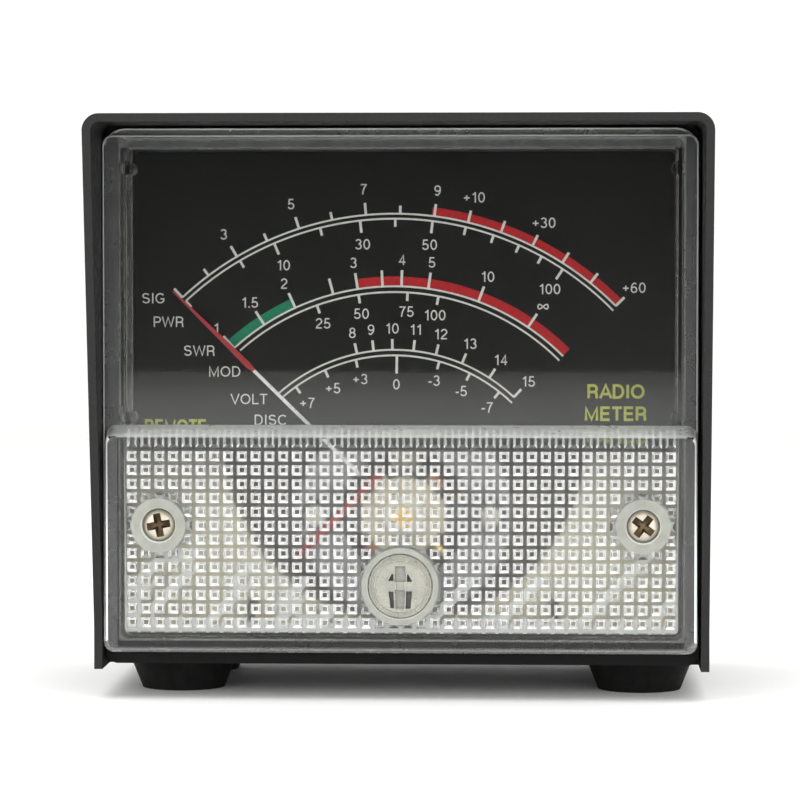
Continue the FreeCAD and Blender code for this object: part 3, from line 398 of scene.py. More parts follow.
FINISH = {
    "case_paint": paint("case_paint", grey(0.006), grey(0.012, 0.02), 0.42, 0.05, 0.5,
                        Specular_IOR_Level=0.32),
    "chassis_paint": paint("chassis_paint", grey(0.005), grey(0.010), 0.3, 0.03, 0.5,
                           Specular_IOR_Level=0.09),
    "foot_rubber": skin("moulded_rubber", 0.72, (grey(0.006), grey(0.012, 0.04)), (1.6, 5.0, 0.65),
                        (0.28, 4.0, 0.7), 0.03, (2.5, 4.0), (0.62, 0.82), Specular_IOR_Level=0.12),
    "black_screw_steel": metal("black_oxide", grey(0.02), grey(0.045, -0.03), 0.36, depth=0.006, grain=0.3),
    "zinc_steel": metal("zinc_plate", (0.42, 0.42, 0.38), (0.66, 0.65, 0.58), 0.34, (1, 0.15, 1)),
    "nickel_steel": metal("nickel_plate", (0.62, 0.58, 0.50), (0.83, 0.79, 0.70), 0.24, (1, 1, 0.2), 0.3,
                          0.003),
    "clear_plastic": clear("clear_moulding", (0.955, 0.965, 0.955), 0.02),
    "cream_plastic": plastic("cream_moulding", *CREAM, 0.42, Subsurface_Weight=0.08),
    "dial_aluminium": skin("dial_black", 0.6, ((0.010, 0.010, 0.0095), (0.0155, 0.0152, 0.0143)),
                           (0.35, 4.0, 0.7), (0.16, 3.0, 0.7), 0.004, (5.0, 4.0), (0.48, 0.62),
                           Specular_IOR_Level=0.09),
    "soft_iron": metal("soft_iron", (0.20, 0.20, 0.205), (0.33, 0.33, 0.335), 0.38, (1, 0.1, 1)),
    "magnet": metal("sintered_magnet", (0.11, 0.11, 0.115), (0.2, 0.2, 0.205), 0.45, depth=0.02, grain=0.2),
    "brass": metal("brass", (0.62, 0.42, 0.14), (0.82, 0.6, 0.25), 0.28, (1, 0.12, 1)),
    "spring_bronze": metal("spring_bronze", (0.55, 0.30, 0.11), (0.74, 0.45, 0.2), 0.22),
    "copper": skin("enamelled_copper", 0.26, ((0.42, 0.13, 0.035), (0.75, 0.30, 0.11)), (0.9, 4.0, 0.6),
                   (0.2, 2.0), 0.01, (0.5, 3.0), (0.2, 0.34), Metallic=1.0, Coat_Weight=0.6,
                   Coat_Roughness=0.15),
    "jewel": plastic("ruby", (0.45, 0.01, 0.03), (0.62, 0.02, 0.06), 0.08, depth=0.001,
                     Transmission_Weight=0.7, IOR=1.76),
    "pointer_aluminium": metal("pointer_aluminium", (0.70, 0.70, 0.69), (0.86, 0.86, 0.84), 0.3),
    "pointer_red": plastic("pointer_lacquer", (0.38, 0.012, 0.018), (0.50, 0.024, 0.03), 0.4, 0.2, 0.003,
                           3.0),
    "red_insulation": plastic("red_insulation", (0.36, 0.012, 0.022), (0.48, 0.022, 0.035), 0.36),
    "black_insulation": plastic("black_insulation", grey(0.012), grey(0.022), 0.38),
    "board": board(),
    "white_board": plastic("white_board", *WHITE_MOULDING, 0.4),
    "lamp": plastic("lamp_resin", (0.82, 0.80, 0.66), (0.92, 0.90, 0.78), 0.25, Subsurface_Weight=0.3),
    "black_plastic": plastic("black_moulding", grey(0.012), grey(0.024), 0.36),
    "trimmer_blue": plastic("blue_moulding", (0.012, 0.05, 0.22), (0.02, 0.075, 0.3), 0.35),
    "rotor_white": plastic("white_moulding", *WHITE_MOULDING, 0.38),
    "resistor_body": plastic("resistor_coating", (0.5, 0.34, 0.15), (0.62, 0.45, 0.22), 0.4),
    "capacitor_can": plastic("capacitor_sleeve", (0.012, 0.018, 0.08), (0.02, 0.03, 0.12), 0.3),
}

for name, node in NODES.items():
    node.data.materials.clear()
    node.data.materials.append(FINISH[SLOT_OF[name]])

# The front bridge's middle is cream moulding, on arms of dark sheet metal. The trimmer rotor's slot is
# painted dark, as the shade inside it. The base's cream goes over to a painted shade between two heights,
# as the shadow under the dial plate.
BRIDGE_MIDDLE = 6.2
ROTOR_PAINTED_SHADE_HALF = 0.26
PAINTED_SHADE_LOW, PAINTED_SHADE_HIGH = 22.0, 34.0
NODES["front_bridge"].data.materials[0] = split_finish(
    "bridge_finish", BRIDGE_MIDDLE, ((0.62, 0.55, 0.40), (0.74, 0.67, 0.52)), (grey(0.05), grey(0.09)), 3.0)
# The rotor's slot is painted near black, as the shade inside it.
NODES["trimmer_rotor"].data.materials[0] = split_finish(
    "rotor_finish_painted_slot_shade", ROTOR_PAINTED_SHADE_HALF, (grey(0.02), grey(0.04)), WHITE_MOULDING, 1.5)
NODES["meter_base"].data.materials[0] = base_with_painted_shade(PAINTED_SHADE_LOW, PAINTED_SHADE_HIGH)

# The clear front is polished only on its large faces. Its prisms are a little matt, and its edges, rims and
# the discs round the screws are hazy or milky from moulding. The edges and rims also carry painted light: a
# pale painted highlight on the edges, and a top rim that looks lighter than the side rims, as lit from above.
LENS_FINISH = {
    "polished": FINISH["clear_plastic"],
    "prism": clear("prism_faces", (0.93, 0.94, 0.925), 0.2),
    "milky": hazy("milky_edge", (0.70, 0.72, 0.70), (0.82, 0.84, 0.81), 0.35, 0.3, 0.004, 8.0, 0.25),
    "haze": hazy("hazy_step", (0.80, 0.82, 0.79), (0.92, 0.93, 0.90), 0.24, 0.6, 0.0015, 5.0, 0.80),
    "frost": hazy("frosted_ring", (0.43, 0.44, 0.39), (0.55, 0.56, 0.50), 0.4, 0.25, 0.004, 1.6, 0.42),
    # The rims carry painted light: more pale scatter on the top rim than on the side rims, so the top looks
    # lit from above.
    "lit top rim": hazy("hazy_rim_painted_top_light", (0.56, 0.58, 0.57), (0.70, 0.72, 0.70), 0.2, 0.3, 0.003, 5.0, 0.82),
    "shaded side rim": hazy("hazy_rim_painted_side_shade", (0.56, 0.58, 0.58), (0.70, 0.72, 0.71), 0.2, 0.3, 0.003, 5.0, 0.91),
    "ledge": hazy("cloudy_ledge", (0.44, 0.46, 0.44), (0.60, 0.62, 0.59), 0.3, 0.3, 0.004, 1.2, 0.5),
    # Painted highlight: pale, nearly opaque edges that stand in for the light carried inside the clear
    # plastic.
    "outline": hazy("pale_outline_painted_highlight", (0.88, 0.90, 0.88), (0.96, 0.97, 0.95), 0.35, 0.3, 0.004, 8.0, 0.06),
}
SCREW_FINISH = {
    "head": metal("nickel_head", (0.54, 0.485, 0.40), (0.70, 0.64, 0.55), 0.5, (1, 1, 0.3), 0.25,
                  tarnish=1.6),
    "recess": metal("screw_recess", (0.13, 0.095, 0.055), (0.24, 0.18, 0.11), 0.5, grain=0.15, depth=0.01),
}
ADJUSTER_FINISH = {
    "frosted": hazy("frosted_adjuster", (0.55, 0.55, 0.48), (0.70, 0.70, 0.62), 0.26, 0.25, 0.004, 1.6, 0.5),
    # The slot's sides are painted dark, as the shade in the slot.
    "dark": plastic("slot_sides_painted_shade", (0.10, 0.105, 0.095), (0.19, 0.19, 0.17), 0.42, 0.12, 0.01, 0.5),
    "grey": plastic("cloudy_slot", (0.27, 0.28, 0.26), (0.42, 0.42, 0.39), 0.35, 0.12, 0.01, 0.5),
}


# ---- Clear front ----

# Half widths and heights as seen from the front, and depths behind the raised block's face.
FLANGE_HALF, FLANGE_SHIFT, FLANGE_CORNER = 43.5, -0.2, 3.2
FLANGE_FRONT, FLANGE_BACK = 3.7, 4.7
LIP_HALF, LIP_TOP, LIP_CORNER, LIP_BACK = FLANGE_HALF - 0.02, 80.6, 1.5, 3.66
BLOCK_HALF, BLOCK_LOW, BLOCK_CORNER = 43.05, 5.4, 1.3
LEDGE_LOW, LEDGE_HIGH = 36.9, 38.25
WALL_HALF, WALL_LOW, WALL_HIGH, WALL_CORNER, WALL_EASE = 41.2, 6.8, 80.2, 1.2, 0.1
WALL_BACK = LENS_HIGH.y - FACE
WALL_END = WALL_BACK - 0.15
# The window's outer face and its inner face; the block's inner face, where the prisms stand.
WINDOW, WINDOW_INSIDE, BLOCK_INSIDE = 2.5, 4.3, 2.2
ROOM_HALF, ROOM_LOW, ROOM_HIGH = 40.4, 7.9, 78.8
# The ceiling behind the ledge, and how it rises inwards.
CEILING, CEILING_SLOPE = 36.95, 0.95 / 2.1
ROWS, COLUMNS = 15, 40
COLUMN_PITCH, ROW_PITCH = 2.015, 2.03
FIRST_ROW = 35.76
CELL_BASE, CELL_TOP, CELL_ANGLE = 0.74, 0.32, 48.0
# The polished panes lie a hair's breadth behind the hazy rim, and the frosted discs a little more.
PANE_HALF, PANE_SINK, PANE_TOP = 41.3, 0.05, 78.7
FROST_SINK = 0.12
SCREW_DISC_R, ZERO_DISC_R = 4.1, 5.75
# The edges are hazy below this height, and above it they carry a painted highlight of pale, nearly opaque
# finish.
PAINTED_HIGHLIGHT_LOW = 20


def eased(radius, steps=4):
    """Inset and depth of the points round a quarter-round edge, from the face to the side."""
    turns = [math.pi / 2 * step / steps for step in range(steps + 1)]
    return [(radius * (1 - math.sin(turn)), radius * (1 - math.cos(turn))) for turn in turns]


def flange_and_walls(bm):
    """The flange with the lip in front of it, and the walls that reach back to the base."""
    loops = []
    for inset, depth in eased(0.45):
        loops.append(outline(LIP_HALF - inset, LENS_LOW.z + inset, LIP_TOP - inset, LIP_CORNER - inset / 2,
                             WINDOW + depth))
    loops.append(outline(LIP_HALF, LENS_LOW.z, LIP_TOP, LIP_CORNER, LIP_BACK))
    for inset, depth in eased(0.25, 3):
        loops.append(outline(FLANGE_HALF - inset, LENS_LOW.z + inset, LENS_HIGH.z - inset, FLANGE_CORNER,
                             FLANGE_FRONT + depth))
    loops.append(outline(FLANGE_HALF, LENS_LOW.z, LENS_HIGH.z, FLANGE_CORNER, FLANGE_BACK))
    loops = [[(x + FLANGE_SHIFT, depth, z) for x, depth, z in loop] for loop in loops]
    for out, depth in ((WALL_EASE, FLANGE_BACK), (0, FLANGE_BACK + WALL_EASE), (0, WALL_END - WALL_EASE),
                       (-WALL_EASE, WALL_END)):
        loops.append(outline(WALL_HALF + out, WALL_LOW - out, WALL_HIGH + out, WALL_CORNER, depth))
    loft(bm, loops)


def raised_block(bm):
    """The lower block. Its top is the ledge, which slopes up from the block's face to the window."""
    loops = []
    slope = (LEDGE_HIGH - LEDGE_LOW) / WINDOW
    for inset, depth in eased(0.5, 5) + [(0, 1.2), (0, WINDOW + 0.25)]:
        top = LEDGE_LOW + slope * depth - inset
        loops.append(outline(BLOCK_HALF - inset, BLOCK_LOW + inset, top, BLOCK_CORNER - inset * 0.4, depth))
    loft(bm, loops)


def room(bm):
    """The hollow behind the window."""
    loft(bm, [outline(ROOM_HALF - inset, ROOM_LOW + inset, ROOM_HIGH - inset, 0.8, WINDOW_INSIDE + depth)
              for inset, depth in eased(0.3, 3) + [(0, 14.0)]])


def lower_room(bm):
    """The hollow inside the raised block."""
    loft(bm, [outline(ROOM_HALF, ROOM_LOW, CEILING + CEILING_SLOPE * depth, 0.6, BLOCK_INSIDE + depth, 4)
              for depth in (0, 2.4)])


def cells(bm):
    """The prism pattern: small blunt pyramids that point inwards; the top row joins the ceiling."""
    root = BLOCK_INSIDE - 0.2
    tip = BLOCK_INSIDE + (CELL_BASE - CELL_TOP) * math.tan(math.radians(CELL_ANGLE))
    for row in range(ROWS):
        z = FIRST_ROW - ROW_PITCH * row
        low = max(-CELL_BASE, ROOM_LOW - 0.3 - z)
        low_top = max(-CELL_TOP, ROOM_LOW - 0.2 - z)
        high = CEILING + 0.1 - z if row == 0 else CELL_BASE
        high_top = CEILING + 0.2 - z if row == 0 else CELL_TOP
        wide = 0.44 if row == 0 else CELL_TOP
        for column in range(COLUMNS):
            x = COLUMN_PITCH * (column - (COLUMNS - 1) / 2)
            loops = [[(x + CELL_BASE, depth, z + high), (x - CELL_BASE, depth, z + high),
                      (x - CELL_BASE, depth, z + low), (x + CELL_BASE, depth, z + low)]
                     for depth in (root, BLOCK_INSIDE)]
            loops.append([(x + wide, tip, z + high_top), (x - wide, tip, z + high_top),
                          (x - CELL_TOP, tip, z + low_top), (x + CELL_TOP, tip, z + low_top)])
            loft(bm, loops)


def ribs(bm):
    """Round ejector ribs in the four corners of the window."""
    for side in (-1, 1):
        for height in (39.1, 75.8):
            lathe(bm, [(0.95, 4.2), (1.05, 4.35), (1.05, WALL_END - 0.1), (0.95, WALL_END)],
                  side * (ROOM_HALF + 0.1), height, 40)


def sunk_panels(bm):
    """The panes of the window and of the block."""
    for low, top, face in ((LEDGE_HIGH + 0.08, PANE_TOP, WINDOW), (BLOCK_LOW + 0.55, LEDGE_LOW - 0.54, 0.0)):
        loft(bm, [outline(PANE_HALF + spread, low - spread, top + spread, 0.5, depth, 4)
                  for spread, depth in ((0.03, face - 0.04), (0, face + PANE_SINK))])


def frosted_disc(radius):
    return [(radius, -0.5), (radius - 0.05, -0.01), (radius - 0.15, FROST_SINK)]


def at_screws(profile, steps=64):
    """A turned shape about each of the two screws, from radii and depths."""
    def build(bm):
        for side in (-1, 1):
            lathe(bm, profile, side * SCREW_X, SCREW_Z, steps)
    return build


def at_adjuster(profile):
    """A turned shape about the zero adjuster."""
    def build(bm):
        lathe(bm, profile, 0, ZERO_Z, 96)
    return build


# Radii and depths of the pillars that the screws and the adjuster go through, and of their stepped holes.
SCREW_BOSS = [(4.2, 2.0), (4.2, 2.2), (3.85, 2.6), (3.8, 3.0), (3.8, WALL_BACK - 0.1), (3.7, WALL_BACK)]
SCREW_HOLE = [(2.8, -0.5), (2.75, -0.01), (2.6, 0.1), (2.5, 0.3), (2.45, 0.6), (2.45, 2.0), (1.35, 2.0),
              (1.35, 13.0)]
ZERO_BOSS = [(5.9, 2.0), (5.9, 2.2), (5.65, 2.5), (5.6, 2.8), (5.6, 5.8), (5.5, 5.9)]
ZERO_HOLE = [(5.0, -0.5), (4.98, -0.01), (4.85, 0.1), (4.78, 0.3), (4.75, 0.5), (4.75, 2.0), (2.48, 2.0),
             (2.48, 8.0)]


def lens_kind(x, depth, z, normal):
    """Which of the clear front's finishes a face has."""
    upright = abs(normal.y)
    from_screw = math.hypot(abs(x) - SCREW_X, z - SCREW_Z)
    from_zero = math.hypot(x, z - ZERO_Z)
    in_boss = from_screw < SCREW_DISC_R + 0.15 or from_zero < ZERO_DISC_R + 0.2
    if in_boss and PANE_SINK + 0.005 < depth < FROST_SINK + 0.08:
        return "frost"
    if normal.y < -0.9 and min(abs(depth), abs(depth - WINDOW)) < 0.02:
        return "lit top rim" if z > PANE_TOP - 0.1 else "shaded side rim"
    if in_boss and (depth > BLOCK_INSIDE - 0.3 or upright < 0.9):
        return "milky"
    on_ledge = depth < WINDOW + 0.1 and LEDGE_LOW - 0.25 < z < LEDGE_HIGH + 0.2
    if on_ledge and normal.z > 0.3 and abs(x) < BLOCK_HALF - 0.3:
        return "ledge"
    if abs(x) > BLOCK_HALF - 0.55 or z < BLOCK_LOW + 0.5 or z > LIP_TOP - 0.6:
        return "outline" if upright < 0.98 and z > PAINTED_HIGHLIGHT_LOW else "haze"
    if FLANGE_BACK - 0.1 < depth < FLANGE_BACK + 0.05 and normal.y > 0.9:
        return "haze"
    inside = abs(x) <= ROOM_HALF - 0.05 and ROOM_LOW + 0.05 <= z <= ROOM_HIGH - 0.05
    if depth > LIP_BACK - 0.06 and not inside:
        return "haze"
    if BLOCK_INSIDE - 0.1 < depth < BLOCK_INSIDE + 0.8 and z < LEDGE_LOW and abs(x) < ROOM_HALF:
        return "prism"
    return "polished"


lens = solid("clear_front", flange_and_walls)
boolean(lens, "UNION", raised_block)
boolean(lens, "DIFFERENCE", room, lower_room)
boolean(lens, "UNION", cells, at_screws(SCREW_BOSS), at_adjuster(ZERO_BOSS), ribs)
boolean(lens, "DIFFERENCE", sunk_panels, at_screws(frosted_disc(SCREW_DISC_R), 72),
        at_adjuster(frosted_disc(ZERO_DISC_R)), at_screws(SCREW_HOLE), at_adjuster(ZERO_HOLE))
sort_faces(lens, LENS_FINISH, lens_kind)
shade(lens, 28)
place(lens, LENS_FINISH.values(), "case", ["lens"])


def dark_ring_behind_walls(bm):
    """A thin black ring between the ends of the clear front's walls and the moulded base, which keeps the
    band seen through the walls dark.
    """
    near, far = WALL_END + 0.005, WALL_BACK - 0.005
    outer = [outline(WALL_HALF - WALL_EASE, WALL_LOW + WALL_EASE, WALL_HIGH - WALL_EASE, WALL_CORNER,
                     depth, 4) for depth in (near, far)]
    inner = [outline(ROOM_HALF + 0.05, ROOM_LOW - 0.05, ROOM_HIGH + 0.05, 0.6, depth, 4)
             for depth in (far, near)]
    loft(bm, outer + inner, True)


place(solid("dark_ring_behind_walls", dark_ring_behind_walls), [FINISH["foot_rubber"]], "case")


# ---- Screws of the clear front ----

SEAT = 2.0
HEAD_H = 1.6
CROWN = SEAT - HEAD_H
SHANK_R = 1.2
SHANK_END = SCREW_HIGH.y - FACE
# The bars of the cross recess: depth, and half length and half width as shares of the head's radius.
WING = ((-0.6, 0.86, 0.285), (0.15, 0.78, 0.235), (1.1, 0.5, 0.18), (1.4, 0.2, 0.1))
# The two screws: the side that each is on, and how far it is turned, in degrees.
SCREW_TURNS = {"front_screw_left": (-1, 10), "front_screw_right": (1, -37)}


def recessed_screw(name, x, z, spin):
    """A pan-head screw along the depth, with a tapered cross recess."""

    def body(bm):
        dome = [(SCREW_HEAD_R * share, CROWN + drop) for share, drop in
                ((0.02, 0), (0.35, 0.03), (0.66, 0.13), (0.86, 0.36), (0.97, 0.72), (1, 1.0))]
        shank = [(SCREW_HEAD_R, SEAT - 0.06), (SCREW_HEAD_R - 0.06, SEAT), (SHANK_R, SEAT),
                 (SHANK_R, SHANK_END - 0.4), (SHANK_R - 0.35, SHANK_END)]
        lathe(bm, dome + shank, x, z, 72)

    def wing(turn):
        """One of the two bars of the cross, which narrows inwards."""
        cos, sin = math.cos(turn), math.sin(turn)

        def cut(bm):
            loops = []
            for depth, reach, web in WING:
                loop = []
                for u, v in ((1, 1), (-1, 1), (-1, -1), (1, -1)):
                    px, pz = u * reach * SCREW_HEAD_R, v * web * SCREW_HEAD_R
                    loop.append((x + px * cos - pz * sin, CROWN + depth, z + px * sin + pz * cos))
                loops.append(loop)
            loft(bm, loops)
        return cut

    def kind(px, depth, pz, normal):
        """The recess is what lies below the dome."""
        out = math.hypot(px - x, pz - z) / SCREW_HEAD_R
        return "recess" if out < 0.86 and CROWN + 0.12 + 0.5 * out ** 3 < depth < SEAT else "head"

    made = solid(name, body)
    boolean(made, "DIFFERENCE", wing(spin), wing(spin + math.pi / 2))
    sort_faces(made, SCREW_FINISH, kind)
    shade(made, 38)
    return made


for name, (side, turn) in SCREW_TURNS.items():
    place(recessed_screw(name, side * SCREW_X, SCREW_Z, math.radians(turn)), SCREW_FINISH.values(), "case",
          ["lens_screws"])


# ---- Zero adjuster ----

# The slot has a long part below the middle and one above it, each with darker parts at its sides, and a
# shallow bridge between them; the darker parts are painted shade. For each part: X at its lower end, X at its
# upper end, its low and high edge counted from the middle, and its floor's depth.
SLOT_PARTS = (((-1.42, -0.86), (-1.7, -0.98), -3.2, -0.8, 1.35),
              ((-0.7, 0.62), (-0.8, 0.7), -3.35, -0.6, 1.35),
              ((0.78, 1.5), (0.86, 1.75), -3.3, -0.75, 1.35),
              ((-0.62, 0.62), (-0.62, 0.62), -0.7, 0.7, 0.8),
              ((-1.75, -0.95), (-1.25, -1.0), 0.75, 1.75, 1.35),
              ((-0.86, 0.86), (-0.72, 0.72), 0.6, 2.9, 1.35),
              ((0.95, 1.75), (1.0, 1.2), 0.65, 1.7, 1.35))
PIN_OFFSET = 1.2
# Radii and depths of the clear screw: a ringed head, and the shaft with its groove for the clip.
ADJUSTER = [(3.55, 0.56), (3.68, 0.42), (3.8, 0.42), (3.95, 0.62), (4.3, 0.66), (4.38, 0.38), (4.5, 0.36),
            (4.6, 0.5), (4.6, 1.84), (4.54, 1.9), (2.4, 1.9), (2.4, 6.05), (1.9, 6.05), (1.9, 6.55),
            (2.4, 6.55), (2.4, 6.9), (2.3, 7.0)]


def adjuster_pin(bm):
    """The eccentric pin that swings the lever's fork."""
    lathe(bm, [(0.6, 6.5), (0.6, 12.15), (0.45, 12.3)], 0, ZERO_Z + PIN_OFFSET, 32)


def slot_pocket(lower, upper, low, high, floor):
    """Cuts one part of the slot, which narrows towards its floor."""

    def cut(bm):
        loops = []
        for depth, inset in ((0.2, 0.0), (0.6, 0.0), (floor, 0.12)):
            top, bottom = ZERO_Z + high - inset, ZERO_Z + low + inset
            loops.append([(upper[1] - inset, depth, top), (upper[0] + inset, depth, top),
                          (lower[0] + inset, depth, bottom), (lower[1] - inset, depth, bottom)])
        loft(bm, loops)
    return cut


def adjuster_kind(x, depth, z, normal):
    """The slot's middle is grey and its sides are painted dark, as shade; the cross bar and the head are
    frosted.
    """
    up = z - ZERO_Z
    if not (0.58 < depth < 1.5 and abs(x) < 2.0 and abs(up) < 3.4):
        return "frosted"
    if up > 0.6:
        return "dark" if abs(x) > 0.9 else "grey"
    if up < -0.75:
        return "dark" if abs(x) >= 0.8 else "grey"
    return "frosted"


adjuster = solid("zero_adjuster", at_adjuster(ADJUSTER))
boolean(adjuster, "UNION", adjuster_pin)
boolean(adjuster, "DIFFERENCE", *[slot_pocket(*part) for part in SLOT_PARTS])
sort_faces(adjuster, ADJUSTER_FINISH, adjuster_kind)
shade(adjuster, 30)
place(adjuster, ADJUSTER_FINISH.values(), "zero_screw", ["zero_screw"])


# ---- Moving coil: its turns of wire ----

COIL_HALF = 8.2
# The rounding of the outermost layer, and how much less of it each further layer has.
COIL_CORNER, CORNER_LOSS = 0.75, 0.12
WIRE_R = 0.1
WIRE_PITCH = 2 * WIRE_R
LAYERS, TURNS = 4, 10
WIRE_SIDES = 6
# The coil's turn when the pointer rests at the left end of the scales.
REST = math.radians(-45.6)


def wire_turn(bm, path, across):
    """One closed turn of wire along a path, that far across the coil, turned to the coil's rest."""
    count = len(path)
    radius = WIRE_R * 0.98
    rings = []
    for i, (x, depth) in enumerate(path):
        (x0, d0), (x1, d1) = path[i - 1], path[(i + 1) % count]
        tangent = Vector((x1 - x0, d1 - d0)).normalized()
        normal = Vector((tangent.y, -tangent.x))
        ring = []
        for step in range(WIRE_SIDES):
            angle = 2 * math.pi * step / WIRE_SIDES
            out = radius * math.cos(angle)
            u, up = x + normal.x * out, across + radius * math.sin(angle)
            ring.append(bm.verts.new(at(u * math.cos(REST) + up * math.sin(REST), depth + normal.y * out,
                                        AXIS_Z - u * math.sin(REST) + up * math.cos(REST))))
        rings.append(ring)
    for i in range(count):
        near, far = rings[i], rings[(i + 1) % count]
        for step in range(WIRE_SIDES):
            other = (step + 1) % WIRE_SIDES
            bm.faces.new((near[step], near[other], far[other], far[step]))


def coil_turns(bm):
    """Layers of turns, each a rounded rectangle in X and depth about the movement's axis."""
    front, back = COIL_LOW.y - FACE, COIL_HIGH.y - FACE
    for layer in range(LAYERS):
        inset = WIRE_R + WIRE_PITCH * layer
        corner = COIL_CORNER - CORNER_LOSS * layer
        rounded = outline(COIL_HALF - inset, front + inset, back - inset, corner, 0, 5)
        path = [(x, depth) for x, _, depth in rounded]
        for turn in range(TURNS):
            wire_turn(bm, path, WIRE_PITCH * (turn - (TURNS - 1) / 2))


coil = solid("coil_turns", coil_turns)
shade(coil, 80)
place(coil, [FINISH["copper"]], "pointer", ["coil_winding"])


# ---- Dial print ----

# The common middle of the arcs, the ink's thickness, and the widths of the scales' lines and ticks.
PRINT_X, PRINT_Z = -1.37, 22.98
INK = 0.03
UNDER_INK = INK - 0.008
LINE_WIDTH, TICK_WIDTH = 0.27, 0.38
# How deep the ink reaches into the dial, and the sharpest corner that a stroke's side still follows.
BITE, MITRE = 0.01, 0.6
# Degrees between points along the scales' arcs, and round a letter's bow.
ARC_STEP, BOW_STEP = 1.2, 18


def on_arc(radius, angle):
    """X and height of a point of the print; the angle is in degrees to the right of upwards."""
    turn = math.radians(angle)
    return PRINT_X + radius * math.sin(turn), PRINT_Z + radius * math.cos(turn)


def ribbon(bm, points, width, lift=INK, closed=False):
    """A stroke of ink of even width along a line of points, lying on the dial."""
    count = len(points)
    loops = []
    for i, point in enumerate(points):
        here = Vector(point)
        before = Vector(points[i - 1]) if i or closed else here
        after = Vector(points[(i + 1) % count]) if i + 1 < count or closed else here
        coming = (here - before).normalized() if before != here else (after - here).normalized()
        going = (after - here).normalized() if after != here else coming
        middle = coming + going
        middle = middle.normalized() if middle.length > 0.05 else coming
        side = Vector((-middle.y, middle.x))
        reach = side * width / 2 / max(MITRE, middle.dot(going))
        left, right = here + reach, here - reach
        loops.append([(left.x, DIAL_FACE - lift, left.y), (right.x, DIAL_FACE - lift, right.y),
                      (right.x, DIAL_FACE + BITE, right.y), (left.x, DIAL_FACE + BITE, left.y)])
    loft(bm, loops, closed)


def sweep(bm, inner, outer, start, end, lift=INK):
    """A band of ink along an arc."""
    steps = max(2, int((end - start) / ARC_STEP))
    angles = [start + (end - start) * step / steps for step in range(steps + 1)]
    ribbon(bm, [on_arc((inner + outer) / 2, angle) for angle in angles], outer - inner, lift)


def tick(bm, inner, outer, angle):
    """A stroke along a radius, a little over the lines."""
    ribbon(bm, [on_arc(inner, angle), on_arc(outer, angle)], TICK_WIDTH, INK + 0.004)


def bow(cx, cy, rx, ry, start, end):
    """Points along an arc of an ellipse, for a letter's stroke."""
    steps = max(3, int(abs(end - start) / BOW_STEP))
    turns = [math.radians(start + (end - start) * step / steps) for step in range(steps + 1)]
    return [(cx + rx * math.cos(turn), cy + ry * math.sin(turn)) for turn in turns]


def oval(cx, cy, rx, ry):
    """A closed round stroke."""
    return tuple(bow(cx, cy, rx, ry, 0, 360 - BOW_STEP))


def turned_over(strokes, width):
    """The same strokes upside down."""
    return [type(stroke)((width - x, 1 - y) for x, y in stroke) for stroke in strokes]


P_BOWL = [(0.10, 0), (0.10, 0.945)] + bow(0.36, 0.70, 0.19, 0.245, 90, -90) + [(0.10, 0.455)]
SIX = [bow(0.32, 0.70, 0.20, 0.245, 30, 95) + bow(0.37, 0.42, 0.295, 0.50, 112, 185),
       oval(0.305, 0.31, 0.225, 0.255)]
